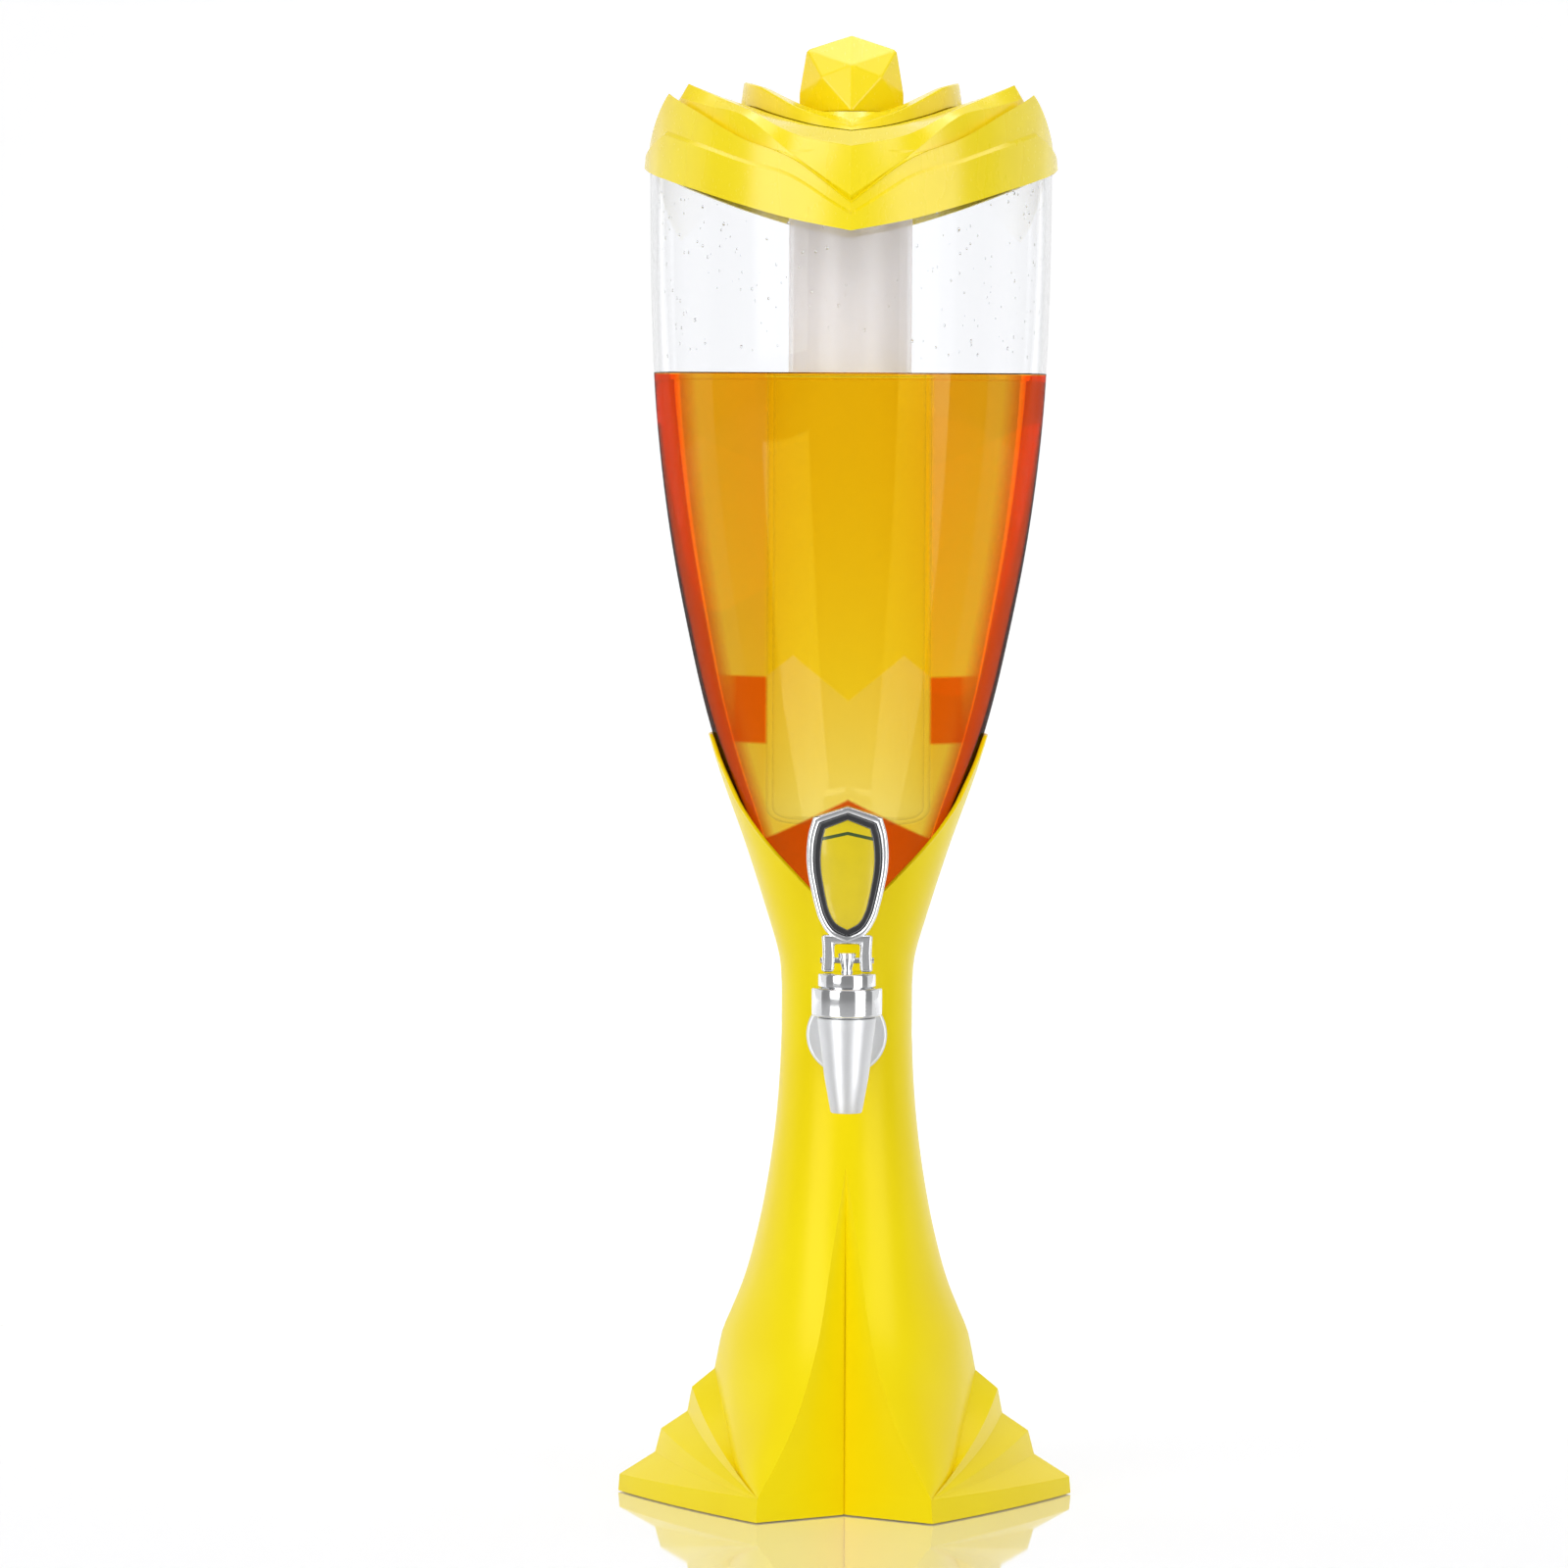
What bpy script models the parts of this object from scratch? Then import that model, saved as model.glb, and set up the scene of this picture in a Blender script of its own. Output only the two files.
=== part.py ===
"""Tabletop beer dispenser: a clear three litre canister in a moulded stand, with a lid and a tap.

The stand's foot, neck and cup are one shell. The canister's spigot stands in the neck, and the
tap's shank passes through both walls. The lid sits over the canister's rim and carries an ice
tube, which its own collar and knob close. The front is -Y, the right side +X, and the origin is
the middle of the floor under the feet.
"""

import math

import bmesh
import bpy
from mathutils import Matrix, Vector

MM = 0.001

# Fits shared by all pieces
SEAT_GAP = 0.3 * MM
CUT_OVERRUN = 2.0 * MM
MERGE_DISTANCE = 0.005 * MM
SCREW_MERGE = 0.01 * MM

# Facets
ROUND_STEPS = 36
SMALL_STEPS = 24
TINY_STEPS = 12
SMOOTH_ANGLE = math.radians(35)

# Canister
CANISTER_RADIUS = 78.3 * MM
CANISTER_WALL = 2.4 * MM
CANISTER_RIM_Z = 521.0 * MM
BOWL_Z = 200.0 * MM
SPIGOT_RADIUS = 22.5 * MM
SPIGOT_FLOOR = 3.0 * MM
SPIGOT_EDGE = 1.6 * MM
BOWL_ROWS = 14
# Height share of the bowl, then radius share between the spigot and the rim
BOWL_SHARES = (
    (0.0, 0.0),
    (0.035, 0.020),
    (0.085, 0.105),
    (0.170, 0.268),
    (0.265, 0.470),
    (0.340, 0.600),
    (0.435, 0.725),
    (0.530, 0.830),
    (0.625, 0.907),
    (0.720, 0.958),
    (0.850, 0.990),
    (1.0, 1.0),
)

# Stand: cup and neck
STAND_CLEARANCE = 0.3 * MM
NECK_WALL = 2.7 * MM
CUP_TIP_WALL = 1.4 * MM
CUP_TIP_Z = 298.4 * MM
CUP_NOTCH_Z = 229.0 * MM
CUP_ROWS = 9
NECK_ROWS = 5
FLARE_ROWS = 7
SHELF_TOP_Z = 159.0 * MM
SPIGOT_SEAT_HEIGHT = 3.0 * MM
SHELF_THICKNESS = 5.0 * MM
NECK_WAIST_Z = 181.0 * MM
# Opening between the petals: width share of the cup at its tips, then height share
CUP_NOTCH_SHARES = (
    (0.0, 0.0),
    (0.20, 0.105),
    (0.37, 0.235),
    (0.60, 0.425),
    (0.77, 0.605),
    (0.865, 0.755),
    (0.935, 0.880),
    (0.985, 1.0),
)

# Stand: foot
FEET_PROUD = 0.8 * MM
FOOT_WALL = 3.1 * MM
VALLEY_TOP_Z = 131.0 * MM
TOE_X = 33.2 * MM
TOE_DEPTH = 82.0 * MM
TOE_Z = 9.4 * MM
TOE_FLARE = 0.5 * MM
HEEL_DEPTH = 60.4 * MM
LOBE_COLUMNS = 8
LOBE_FLATNESS_SHARE = 0.38
FAN_BULGE = 3.0 * MM
SPINE_TOP_X = 51.2 * MM
SPINE_TOP_Z = 48.7 * MM
SPINE_END_X = 88.3 * MM
SPINE_END_Z = 6.8 * MM
# Ridge from the valley's top to the toe: height share, sideways share, depth share
RIDGE_SHARES = (
    (0.0, 1.0, 1.0),
    (0.165, 0.665, 0.715),
    (0.300, 0.470, 0.505),
    (0.480, 0.295, 0.283),
    (0.700, 0.172, 0.120),
    (0.845, 0.090, 0.048),
    (1.0, 0.0, 0.0),
)
# Crease between the lobes: height share of the valley, depth share from its top to the heel
CREASE_SHARES = (
    (0.0, 1.0),
    (0.150, 0.760),
    (0.300, 0.497),
    (0.530, 0.203),
    (0.760, 0.045),
    (1.0, 0.0),
)
# Stand's flare: height share from the spine's top to the waist, width share
FLARE_SHARES = (
    (0.0, 1.0),
    (0.119, 0.875),
    (0.163, 0.779),
    (0.278, 0.545),
    (0.423, 0.346),
    (0.568, 0.202),
    (0.714, 0.097),
    (0.859, 0.032),
    (1.0, 0.0),
)
# Lobe's outer edge from the toe to the spine's top: step share, then x, depth and height shares
LOBE_EDGE_SHARES = (
    (0.0, 0.0, 0.0, 0.0),
    (0.14, 0.165, 0.100, 0.036),
    (0.30, 0.440, 0.268, 0.170),
    (0.62, 0.715, 0.634, 0.560),
    (1.0, 1.0, 1.0, 1.0),
)
# Fan's grooves along the side: x share and height share from the spine's end to its top
GROOVE_SPINE_SHARES = ((0.0, 0.0), (0.375, 0.212), (0.714, 0.597))
# Fan's crests, each above a groove, from the second one up
CREST_SPINE_SHARES = ((0.439, 0.432), (0.763, 0.826))

# Base plate, screws and soft feet
PLATE_THICKNESS = 3.0 * MM
PLATE_RECESS = 0.6 * MM
PLATE_CLEARANCE = 0.8 * MM
BOSS_RADIUS = 4.2 * MM
BOSS_X = 38.0 * MM
BOSS_DEPTH = 28.0 * MM
BOSS_INSET = 0.9 * MM
BOSS_TOP_Z = 60.0 * MM
PILOT_RADIUS = 1.6 * MM
PILOT_DEPTH = 14.0 * MM
SCREW_RADIUS = 1.2 * MM
SCREW_LENGTH = 12.0 * MM
SCREW_HEAD_RADIUS = 3.0 * MM
SCREW_HEAD_HEIGHT = 1.5 * MM
PAD_RADIUS = 7.0 * MM
PAD_RECESS = 1.2 * MM
PAD_TOE_INSET = 7.2 * MM
PAD_TOE_SETBACK = 20.0 * MM

# Canister seat and lid seal
SEAT_INNER_RADIUS = 10.0 * MM
LID_SEAL_HEIGHT = 1.7 * MM
LID_SEAL_WIDTH = 2.6 * MM

# Lid
LID_CLEARANCE = 0.5 * MM
SKIRT_WALL = 1.6 * MM
LID_WALL = 2.4 * MM
LID_SEAT_WIDTH_SHARE = 0.90
KEEL_DROP = 30.6 * MM
LID_DEPTH = 57.0 * MM
LID_ANGLES = (90.0, 74.0, 58.0, 42.0, 26.0, 0.0)
LID_STATIONS = (90.0, 82.0, 74.0, 66.0, 58.0, 50.0, 42.0, 34.0, 26.0, 17.0, 8.0, 0.0)
# Rings of the lid from the skirt's foot to the crown, as shares of its radius and its depth at
# the angles above
SKIRT_FOOT_SHARES = (
    (1.024, 1.005, 1.003, 1.0, 0.998, 1.0),
    (0.0, 0.077, 0.179, 0.279, 0.358, 0.442),
)
SKIRT_EDGE_SHARES = (
    (1.026, 1.003, 1.0, 0.998, 0.995, 0.998),
    (0.181, 0.470, 0.619, 0.795, 0.932, 0.596),
)
SKIRT_LIP_SHARES = (
    (1.015, 0.995, 0.983, 0.978, 0.973, 0.976),
    (0.191, 0.479, 0.617, 0.786, 0.916, 0.588),
)
GROOVE_SHARES = (
    (1.010, 0.994, 0.970, 0.958, 0.949, 0.961),
    (0.205, 0.496, 0.574, 0.688, 0.770, 0.575),
)
LEAF_EDGE_SHARES = (
    (1.025, 1.003, 0.958, 0.920, 0.908, 0.908),
    (0.233, 0.500, 0.763, 0.840, 0.905, 0.628),
)
LEAF_CREST_SHARES = (
    (0.998, 0.978, 0.908, 0.858, 0.867, 0.858),
    (0.562, 0.640, 0.800, 0.905, 1.0, 0.707),
)
CROWN_SHARES = (
    (0.821, 0.808, 0.759, 0.709, 0.697, 0.697),
    (0.663, 0.707, 0.774, 0.856, 0.918, 0.847),
)

# Ice tube and its well in the lid
TUBE_RADIUS = 24.0 * MM
TUBE_WALL = 1.8 * MM
TUBE_LENGTH = 260.0 * MM
TUBE_ROUNDING = 5.0 * MM
TUBE_CORNER_STEPS = 3
TUBE_CLEARANCE = 0.5 * MM
FLANGE_WIDTH = 6.0 * MM
FLANGE_THICKNESS = 2.0 * MM
WELL_CLEARANCE = 1.0 * MM
WELL_FLOOR_RISE = 2.7 * MM
WELL_DEPTH = 4.0 * MM
SOFT_RING_HEIGHT = 1.2 * MM
SOFT_RING_WIDTH = 4.2 * MM

# Collar that closes the ice tube
COLLAR_SIDE_RADIUS = 43.0 * MM
COLLAR_HEIGHT = 18.6 * MM
COLLAR_WALL = 2.2 * MM
COLLAR_LIP = 4.4 * MM
COLLAR_LEAN = 1.2 * MM
COLLAR_LIP_DROP = 0.8 * MM
COLLAR_PLAN_SHARES = (1.14, 1.075, 1.007, 0.965, 0.972, 1.0)
COLLAR_FOOT_SHARES = (0.070, 0.160, 0.280, 0.398, 0.532, 0.613)
COLLAR_EDGE_SHARES = (0.290, 0.425, 0.586, 0.774, 0.962, 1.069)
PLUG_CLEARANCE = 0.6 * MM
PLUG_WALL = 4.0 * MM
PLUG_DEPTH = 12.6 * MM
PLUG_ROOF_RISE = 3.9 * MM
KNOB_SEAT_RISE = 8.1 * MM
KNOB_SEAT_MARGIN = 1.4 * MM
BASIN_WIDTH = 3.0 * MM
BASIN_DROP_SHARE = 0.45

# Knob: a faceted stone with four-fold corners
KNOB_HEIGHT = 30.0 * MM
KNOB_HALF_WIDTH = 20.4 * MM
KNOB_HALF_DEPTH = 20.0 * MM
KNOB_SHARES = (
    (0.0, 0.0, 1.0),
    (0.86, 0.0, 0.81),
    (1.0, 0.0, 0.24),
    (1.0, 0.0, 0.0),
    (0.0, 0.65, 0.60),
    (0.58, 0.56, 0.45),
    (0.0, 1.0, 0.0),
    (0.52, 0.52, 0.0),
)
KNOB_PILOT_DEPTH = 13.0 * MM
KNOB_SCREW_RADIUS = 1.8 * MM
KNOB_SCREW_HEAD_RADIUS = 4.0 * MM
KNOB_SCREW_HEAD_HEIGHT = 2.2 * MM
KNOB_SCREW_REACH = 11.0 * MM

# Tap: shank through the neck, body, bonnet and valve
TAP_DEPTH = 52.0 * MM
SHANK_RISE = 21.0 * MM
SHANK_RADIUS = 6.3 * MM
SHANK_BORE = 4.0 * MM
SHANK_END_DEPTH = 6.0 * MM
SHANK_HOLE_CLEARANCE = 0.5 * MM
SOCKET_DEPTH = 9.0 * MM
ARM_RADIUS = 8.6 * MM
GASKET_RADIUS = 12.5 * MM
GASKET_THICKNESS = 2.6 * MM
INNER_GASKET_RADIUS = 10.5 * MM
TAP_FLANGE_RADIUS = 15.6 * MM
TAP_FLANGE_THICKNESS = 3.0 * MM
TAP_FLANGE_EDGE = 1.1 * MM
NUT_RADIUS = 11.0 * MM
NUT_THICKNESS = 5.0 * MM
NUT_SIDES = 6

SPOUT_DROP = 28.2 * MM
SPOUT_RADIUS = 6.0 * MM
SPOUT_BORE = 4.2 * MM
BODY_SHOULDER_RISE = 8.6 * MM
BODY_RADIUS = 11.3 * MM
CHAMBER_RADIUS = 7.5 * MM
CHAMBER_DROP = 15.5 * MM
SEAT_SLOPE = 0.6 * MM
COLLAR_THREAD_RADIUS = 9.5 * MM
BODY_RISE = 17.0 * MM

BONNET_NUT_RADIUS = 13.6 * MM
BONNET_NUT_RISE = 9.2 * MM
BONNET_NUT_HEIGHT = 11.0 * MM
BONNET_NUT_EDGE = 0.7 * MM
THREAD_CLEARANCE = 0.4 * MM
BONNET_RADIUS = 11.1 * MM
BONNET_RISE = 25.7 * MM
BONNET_EDGE = 0.6 * MM

STEM_RADIUS = 2.2 * MM
STEM_CLEARANCE = 0.4 * MM
STEM_FOOT_RADIUS = 3.4 * MM
STEM_FOOT_HEIGHT = 1.6 * MM
STEM_COLLAR_HEIGHT = 1.2 * MM
STEM_HEAD_FOOT = 1.9 * MM
STEM_HEAD_RADIUS = 3.6 * MM
STEM_HEAD_HEIGHT = 6.8 * MM
STEM_HEAD_SHARE_ABOVE_PIN = 0.42
STEM_NECK_RISE = 0.8 * MM
CUP_SEAL_RADIUS = 6.6 * MM
CUP_SEAL_HEIGHT = 5.6 * MM
SPRING_RADIUS = 5.2 * MM
SPRING_WIRE = 0.5 * MM
SPRING_CURLS = 7
SPRING_POINTS = 8

# Lever: fork, shield, bezel and plate
PIVOT_RISE = 30.5 * MM
PIN_RADIUS = 1.2 * MM
PIN_LENGTH = 20.6 * MM
PIN_CLEARANCE = 0.35 * MM
FORK_OUTER = 10.0 * MM
FORK_INNER = 5.2 * MM
FORK_FOOT_DROP = 4.4 * MM
FORK_DEPTH = 8.4 * MM
FORK_ROOF_RISE = 6.3 * MM
FORK_TOP_RISE = 11.1 * MM
SHIELD_RISE = 6.4 * MM
SHIELD_HEIGHT = 53.1 * MM
SHIELD_HALF_WIDTH = 15.75 * MM
SHIELD_THICKNESS = 6.0 * MM
SHIELD_EDGE = 0.9 * MM
SHIELD_RIM = 2.9 * MM
SHIELD_RECESS = 2.4 * MM
BEZEL_WIDTH = 1.9 * MM
BEZEL_DEPTH = 1.9 * MM
BADGE_DEPTH = 1.4 * MM
# Shield's right edge from its peak to its tip: width share, height share
SHIELD_SHARES = (
    (0.0, 1.0),
    (0.42, 0.956),
    (0.838, 0.919),
    (0.955, 0.80),
    (1.0, 0.66),
    (0.975, 0.53),
    (0.895, 0.405),
    (0.795, 0.28),
    (0.667, 0.165),
    (0.40, 0.055),
    (0.0, 0.0),
)

# Values that follow from those above
SPIGOT_BOTTOM_Z = SHELF_TOP_Z + SPIGOT_SEAT_HEIGHT
SHANK_Z = SPIGOT_BOTTOM_Z + SHANK_RISE
SPOUT_BOTTOM_Z = SHANK_Z - SPOUT_DROP
BODY_SHOULDER_Z = SHANK_Z + BODY_SHOULDER_RISE
CHAMBER_FLOOR_Z = SHANK_Z - CHAMBER_DROP
BODY_TOP_Z = SHANK_Z + BODY_RISE
BONNET_NUT_BOTTOM_Z = SHANK_Z + BONNET_NUT_RISE
BONNET_TOP_Z = SHANK_Z + BONNET_RISE
PIVOT_Z = SHANK_Z + PIVOT_RISE
FORK_FOOT_Z = PIVOT_Z - FORK_FOOT_DROP
FORK_ROOF_Z = PIVOT_Z + FORK_ROOF_RISE
FORK_TOP_Z = PIVOT_Z + FORK_TOP_RISE
SHIELD_BOTTOM_Z = PIVOT_Z + SHIELD_RISE
PAD_X = TOE_X - PAD_TOE_INSET
PAD_DEPTH = TOE_DEPTH - PAD_TOE_SETBACK
LID_SEAT_Z = CANISTER_RIM_Z + LID_SEAL_HEIGHT + 2 * SEAT_GAP
LID_RADIUS = CANISTER_RADIUS + LID_CLEARANCE + SKIRT_WALL
LID_SKIRT_INNER = CANISTER_RADIUS + LID_CLEARANCE
KEEL_Z = LID_SEAT_Z - KEEL_DROP
WELL_FLOOR_Z = LID_SEAT_Z + WELL_FLOOR_RISE
TUBE_FLANGE_RADIUS = TUBE_RADIUS + FLANGE_WIDTH
TUBE_FLANGE_Z = WELL_FLOOR_Z + SOFT_RING_HEIGHT + 2 * SEAT_GAP
TUBE_TOP_Z = TUBE_FLANGE_Z + FLANGE_THICKNESS
WELL_RADIUS = TUBE_FLANGE_RADIUS + WELL_CLEARANCE
COLLAR_Z = TUBE_TOP_Z + SOFT_RING_HEIGHT + 2 * SEAT_GAP
KNOB_SEAT_Z = COLLAR_Z + KNOB_SEAT_RISE
KNOB_Z = KNOB_SEAT_Z + SEAT_GAP
TUBE_BOTTOM_Z = TUBE_FLANGE_Z - TUBE_LENGTH
NECK_RADIUS = SPIGOT_RADIUS + STAND_CLEARANCE + NECK_WALL
PLATE_BOTTOM_Z = FEET_PROUD + PLATE_RECESS
PLATE_TOP_Z = PLATE_BOTTOM_Z + PLATE_THICKNESS
GASKET_FACE_DEPTH = NECK_RADIUS + GASKET_THICKNESS
TAP_FLANGE_FACE_DEPTH = GASKET_FACE_DEPTH + SEAT_GAP + TAP_FLANGE_THICKNESS
ARM_FACE_DEPTH = TAP_FLANGE_FACE_DEPTH + SEAT_GAP
SPIGOT_INNER = SPIGOT_RADIUS - CANISTER_WALL
CUP_SEAL_Z = CHAMBER_FLOOR_Z + SEAT_GAP
STEM_COLLAR_Z = CUP_SEAL_Z + CUP_SEAL_HEIGHT + SEAT_GAP
STEM_HEAD_TOP_Z = PIVOT_Z + STEM_HEAD_HEIGHT * STEM_HEAD_SHARE_ABOVE_PIN


# Numbers read from share tables


def smooth_at(table, key, column=1):
    """Value of a table's column at a key, on a smooth curve through its rows."""
    last = len(table) - 1
    if key <= table[0][0]:
        return table[0][column]
    if key >= table[last][0]:
        return table[last][column]
    row = next(i for i in range(last) if table[i][0] <= key <= table[i + 1][0])
    here, there = table[row], table[row + 1]
    before, after = table[max(row - 1, 0)], table[min(row + 2, last)]
    span = there[0] - here[0]
    share = (key - here[0]) / span
    slope_here = (there[column] - before[column]) / (there[0] - before[0]) * span
    slope_there = (after[column] - here[column]) / (after[0] - here[0]) * span
    square, cube = share ** 2, share ** 3
    return (
        (2 * cube - 3 * square + 1) * here[column]
        + (cube - 2 * square + share) * slope_here
        + (3 * square - 2 * cube) * there[column]
        + (cube - square) * slope_there
    )


def at_angle(shares, angle):
    """Share at an angle, on straight lines between the lid's own angles."""
    for i in range(len(LID_ANGLES) - 1):
        high, low = LID_ANGLES[i], LID_ANGLES[i + 1]
        if low <= angle <= high:
            return blend(shares[i + 1], shares[i], (angle - low) / (high - low))
    return shares[-1]


def blend(start, end, share):
    """Value between start and end."""
    return start + (end - start) * share


def steps(count):
    """Shares from 0 to 1 in even steps."""
    return [i / count for i in range(count + 1)]


# Scene, materials and objects


def reset_scene():
    """Remove the objects that the scene holds."""
    for item in list(bpy.data.objects):
        bpy.data.objects.remove(item, do_unlink=True)


def collection(name):
    """Collection of this name in the scene."""
    group = bpy.data.collections.get(name)
    if group is None:
        group = bpy.data.collections.new(name)
        bpy.context.scene.collection.children.link(group)
    return group


def material(name, colour, roughness, metallic=0.0, alpha=1.0):
    """Principled material of this name."""
    found = bpy.data.materials.get(name)
    if found is not None:
        return found
    made = bpy.data.materials.new(name)
    made.use_nodes = True
    shader = made.node_tree.nodes["Principled BSDF"]
    shader.inputs["Base Color"].default_value = (*colour, 1.0)
    shader.inputs["Roughness"].default_value = roughness
    shader.inputs["Metallic"].default_value = metallic
    shader.inputs["Alpha"].default_value = alpha
    made.diffuse_color = (*colour, alpha)
    return made


def yellow_plastic():
    """Glossy yellow moulding of the stand and lid."""
    return material("yellow_gloss", (0.93, 0.76, 0.02), 0.22)


def clear_plastic():
    """Clear wall of the canister and the ice tube."""
    return material("clear", (0.92, 0.94, 0.95), 0.04, alpha=0.3)


def chrome():
    """Bright plating of the tap."""
    return material("chrome", (0.86, 0.87, 0.88), 0.08, metallic=1.0)


def soft_rubber():
    """Pale soft rubber of seals and feet."""
    return material("rubber", (0.72, 0.72, 0.70), 0.6)


def steel():
    """Plain steel of screws and spring."""
    return material("steel", (0.62, 0.62, 0.63), 0.3, metallic=1.0)


def place(mesh, name, finish=None):
    """Object of this mesh, among the parts, or among the cutters if it has no finish."""
    item = bpy.data.objects.new(name, mesh)
    if finish is None:
        collection("cutters").objects.link(item)
        item.hide_render = True
        item.display_type = "WIRE"
        return item
    collection("tabletop_beer_dispenser").objects.link(item)
    mesh.materials.append(finish)
    return item


def mesh_from(bm, name):
    """Mesh of a finished bmesh, with its doubles merged and round stretches smooth."""
    bmesh.ops.remove_doubles(bm, verts=bm.verts, dist=MERGE_DISTANCE)
    bmesh.ops.dissolve_degenerate(bm, edges=bm.edges, dist=MERGE_DISTANCE)
    mesh = bpy.data.meshes.new(name)
    bm.to_mesh(mesh)
    bm.free()
    mesh.shade_smooth()
    mesh.set_sharp_from_angle(angle=SMOOTH_ANGLE)
    return mesh


def cut(item, cutter, operation="DIFFERENCE"):
    """Boolean of item with cutter."""
    modifier = item.modifiers.new(cutter.name, "BOOLEAN")
    modifier.object = cutter
    modifier.operation = operation
    modifier.solver = "EXACT"


def full_ring(quarter):
    """Closed ring from a quarter that runs from the front, x = 0, to the side, y = 0."""
    right_back = [(x, -y, z) for x, y, z in reversed(quarter[:-1])]
    left_back = [(-x, -y, z) for x, y, z in quarter[1:]]
    left_front = [(-x, y, z) for x, y, z in reversed(quarter[1:-1])]
    return quarter + right_back + left_back + left_front


def ring_loft(name, rings, closed=False):
    """Mesh through rings of equal counts, joined end to end if closed, else capped."""
    bm = bmesh.new()
    rows = [[bm.verts.new(point) for point in ring] for ring in rings]
    count = len(rows[0])
    pairs = list(zip(rows[:-1], rows[1:]))
    if closed:
        pairs.append((rows[-1], rows[0]))
    for low, high in pairs:
        for i in range(count):
            j = (i + 1) % count
            bm.faces.new((low[i], low[j], high[j], high[i]))
    if not closed:
        bm.faces.new(list(reversed(rows[0])))
        bm.faces.new(rows[-1])
    return mesh_from(bm, name)


def turned(name, profile, finish=None, count=ROUND_STEPS, closed=False):
    """Object turned about Z from radius and height points, down the outer side."""
    bm = bmesh.new()
    points = [bm.verts.new((radius, 0, height)) for radius, height in profile]
    for first, second in zip(points[:-1], points[1:]):
        bm.edges.new((first, second))
    if closed:
        bm.edges.new((points[-1], points[0]))
    mesh = bpy.data.meshes.new(name)
    bm.to_mesh(mesh)
    bm.free()
    item = place(mesh, name, finish)
    screw = item.modifiers.new("turn", "SCREW")
    screw.steps = count
    screw.render_steps = count
    screw.use_merge_vertices = True
    screw.merge_threshold = SCREW_MERGE
    screw.use_smooth_shade = True
    return item


def ring_turned(name, inner, outer, bottom, top, finish, count=ROUND_STEPS):
    """Plain ring between two radii and two heights."""
    profile = [(outer, top), (outer, bottom), (inner, bottom), (inner, top)]
    return turned(name, profile, finish, count, closed=True)


def rod(name, radius, start, end, finish=None, count=SMALL_STEPS):
    """Round rod between two points."""
    first, last = Vector(start), Vector(end)
    along = last - first
    turn = along.to_track_quat("Z", "Y").to_matrix().to_4x4()
    bm = bmesh.new()
    bmesh.ops.create_cone(
        bm,
        cap_ends=True,
        segments=count,
        radius1=radius,
        radius2=radius,
        depth=along.length,
        matrix=Matrix.Translation((first + last) / 2) @ turn,
    )
    return place(mesh_from(bm, name), name, finish)


def depth_tube(name, inner, outer, near, far, finish, count=SMALL_STEPS):
    """Tube along Y at the shank's height, from its near to its far depth in front of the axis."""
    item = rod(name, outer, (0, -near, SHANK_Z), (0, -far, SHANK_Z), finish, count)
    bore_start = (0, -near - CUT_OVERRUN, SHANK_Z)
    bore = rod(name + "_bore", inner, bore_start, (0, -far + CUT_OVERRUN, SHANK_Z))
    cut(item, bore)
    return item


def joined(name, sources):
    """Mesh that holds the closed bodies of several mesh objects, which are removed."""
    bm = bmesh.new()
    for source in sources:
        part = source.data
        part.transform(source.matrix_world)
        bm.from_mesh(part)
        bpy.data.objects.remove(source, do_unlink=True)
    return mesh_from(bm, name)


def flat_plate(name, outline, near, far, finish=None):
    """Plate of an outline in the XZ plane, from its near to its far depth in front of the axis."""
    curve = bpy.data.curves.new(name + "_outline", "CURVE")
    curve.dimensions = "2D"
    curve.fill_mode = "BOTH"
    curve.extrude = (near - far) / 2
    spline = curve.splines.new("POLY")
    spline.points.add(len(outline) - 1)
    for point, (x, z) in zip(spline.points, outline):
        point.co = (x, z, 0, 1)
    spline.use_cyclic_u = True
    guide = bpy.data.objects.new(name + "_outline", curve)
    collection("cutters").objects.link(guide)
    guide.rotation_euler = (math.radians(90), 0, 0)
    guide.location = (0, -(near + far) / 2, 0)
    bpy.context.view_layer.update()
    shape = guide.evaluated_get(bpy.context.evaluated_depsgraph_get())
    mesh = bpy.data.meshes.new_from_object(shape)
    mesh.transform(guide.matrix_world)
    bpy.data.objects.remove(guide, do_unlink=True)
    bm = bmesh.new()
    bm.from_mesh(mesh)
    return place(mesh_from(bm, name), name, finish)


def rounded(item, width, segments=2):
    """Bevel on the sharp edges of an object."""
    bevel = item.modifiers.new("edges", "BEVEL")
    bevel.width = width
    bevel.segments = segments
    bevel.limit_method = "ANGLE"
    bevel.angle_limit = SMOOTH_ANGLE


# Canister


def canister_radius(height):
    """Outer radius of the canister at a height."""
    share = (height - BOWL_Z) / (CANISTER_RIM_Z - BOWL_Z)
    return blend(SPIGOT_RADIUS, CANISTER_RADIUS, smooth_at(BOWL_SHARES, share))


def bowl_heights(top):
    """Heights of the bowl's rows from the spigot up to a top."""
    return [blend(BOWL_Z, top, share) for share in steps(BOWL_ROWS)]


def shank_rod(name, radius, near, far):
    """Cutter rod along the shank."""
    return rod(name, radius, (0, -near, SHANK_Z), (0, -far, SHANK_Z))


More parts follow.
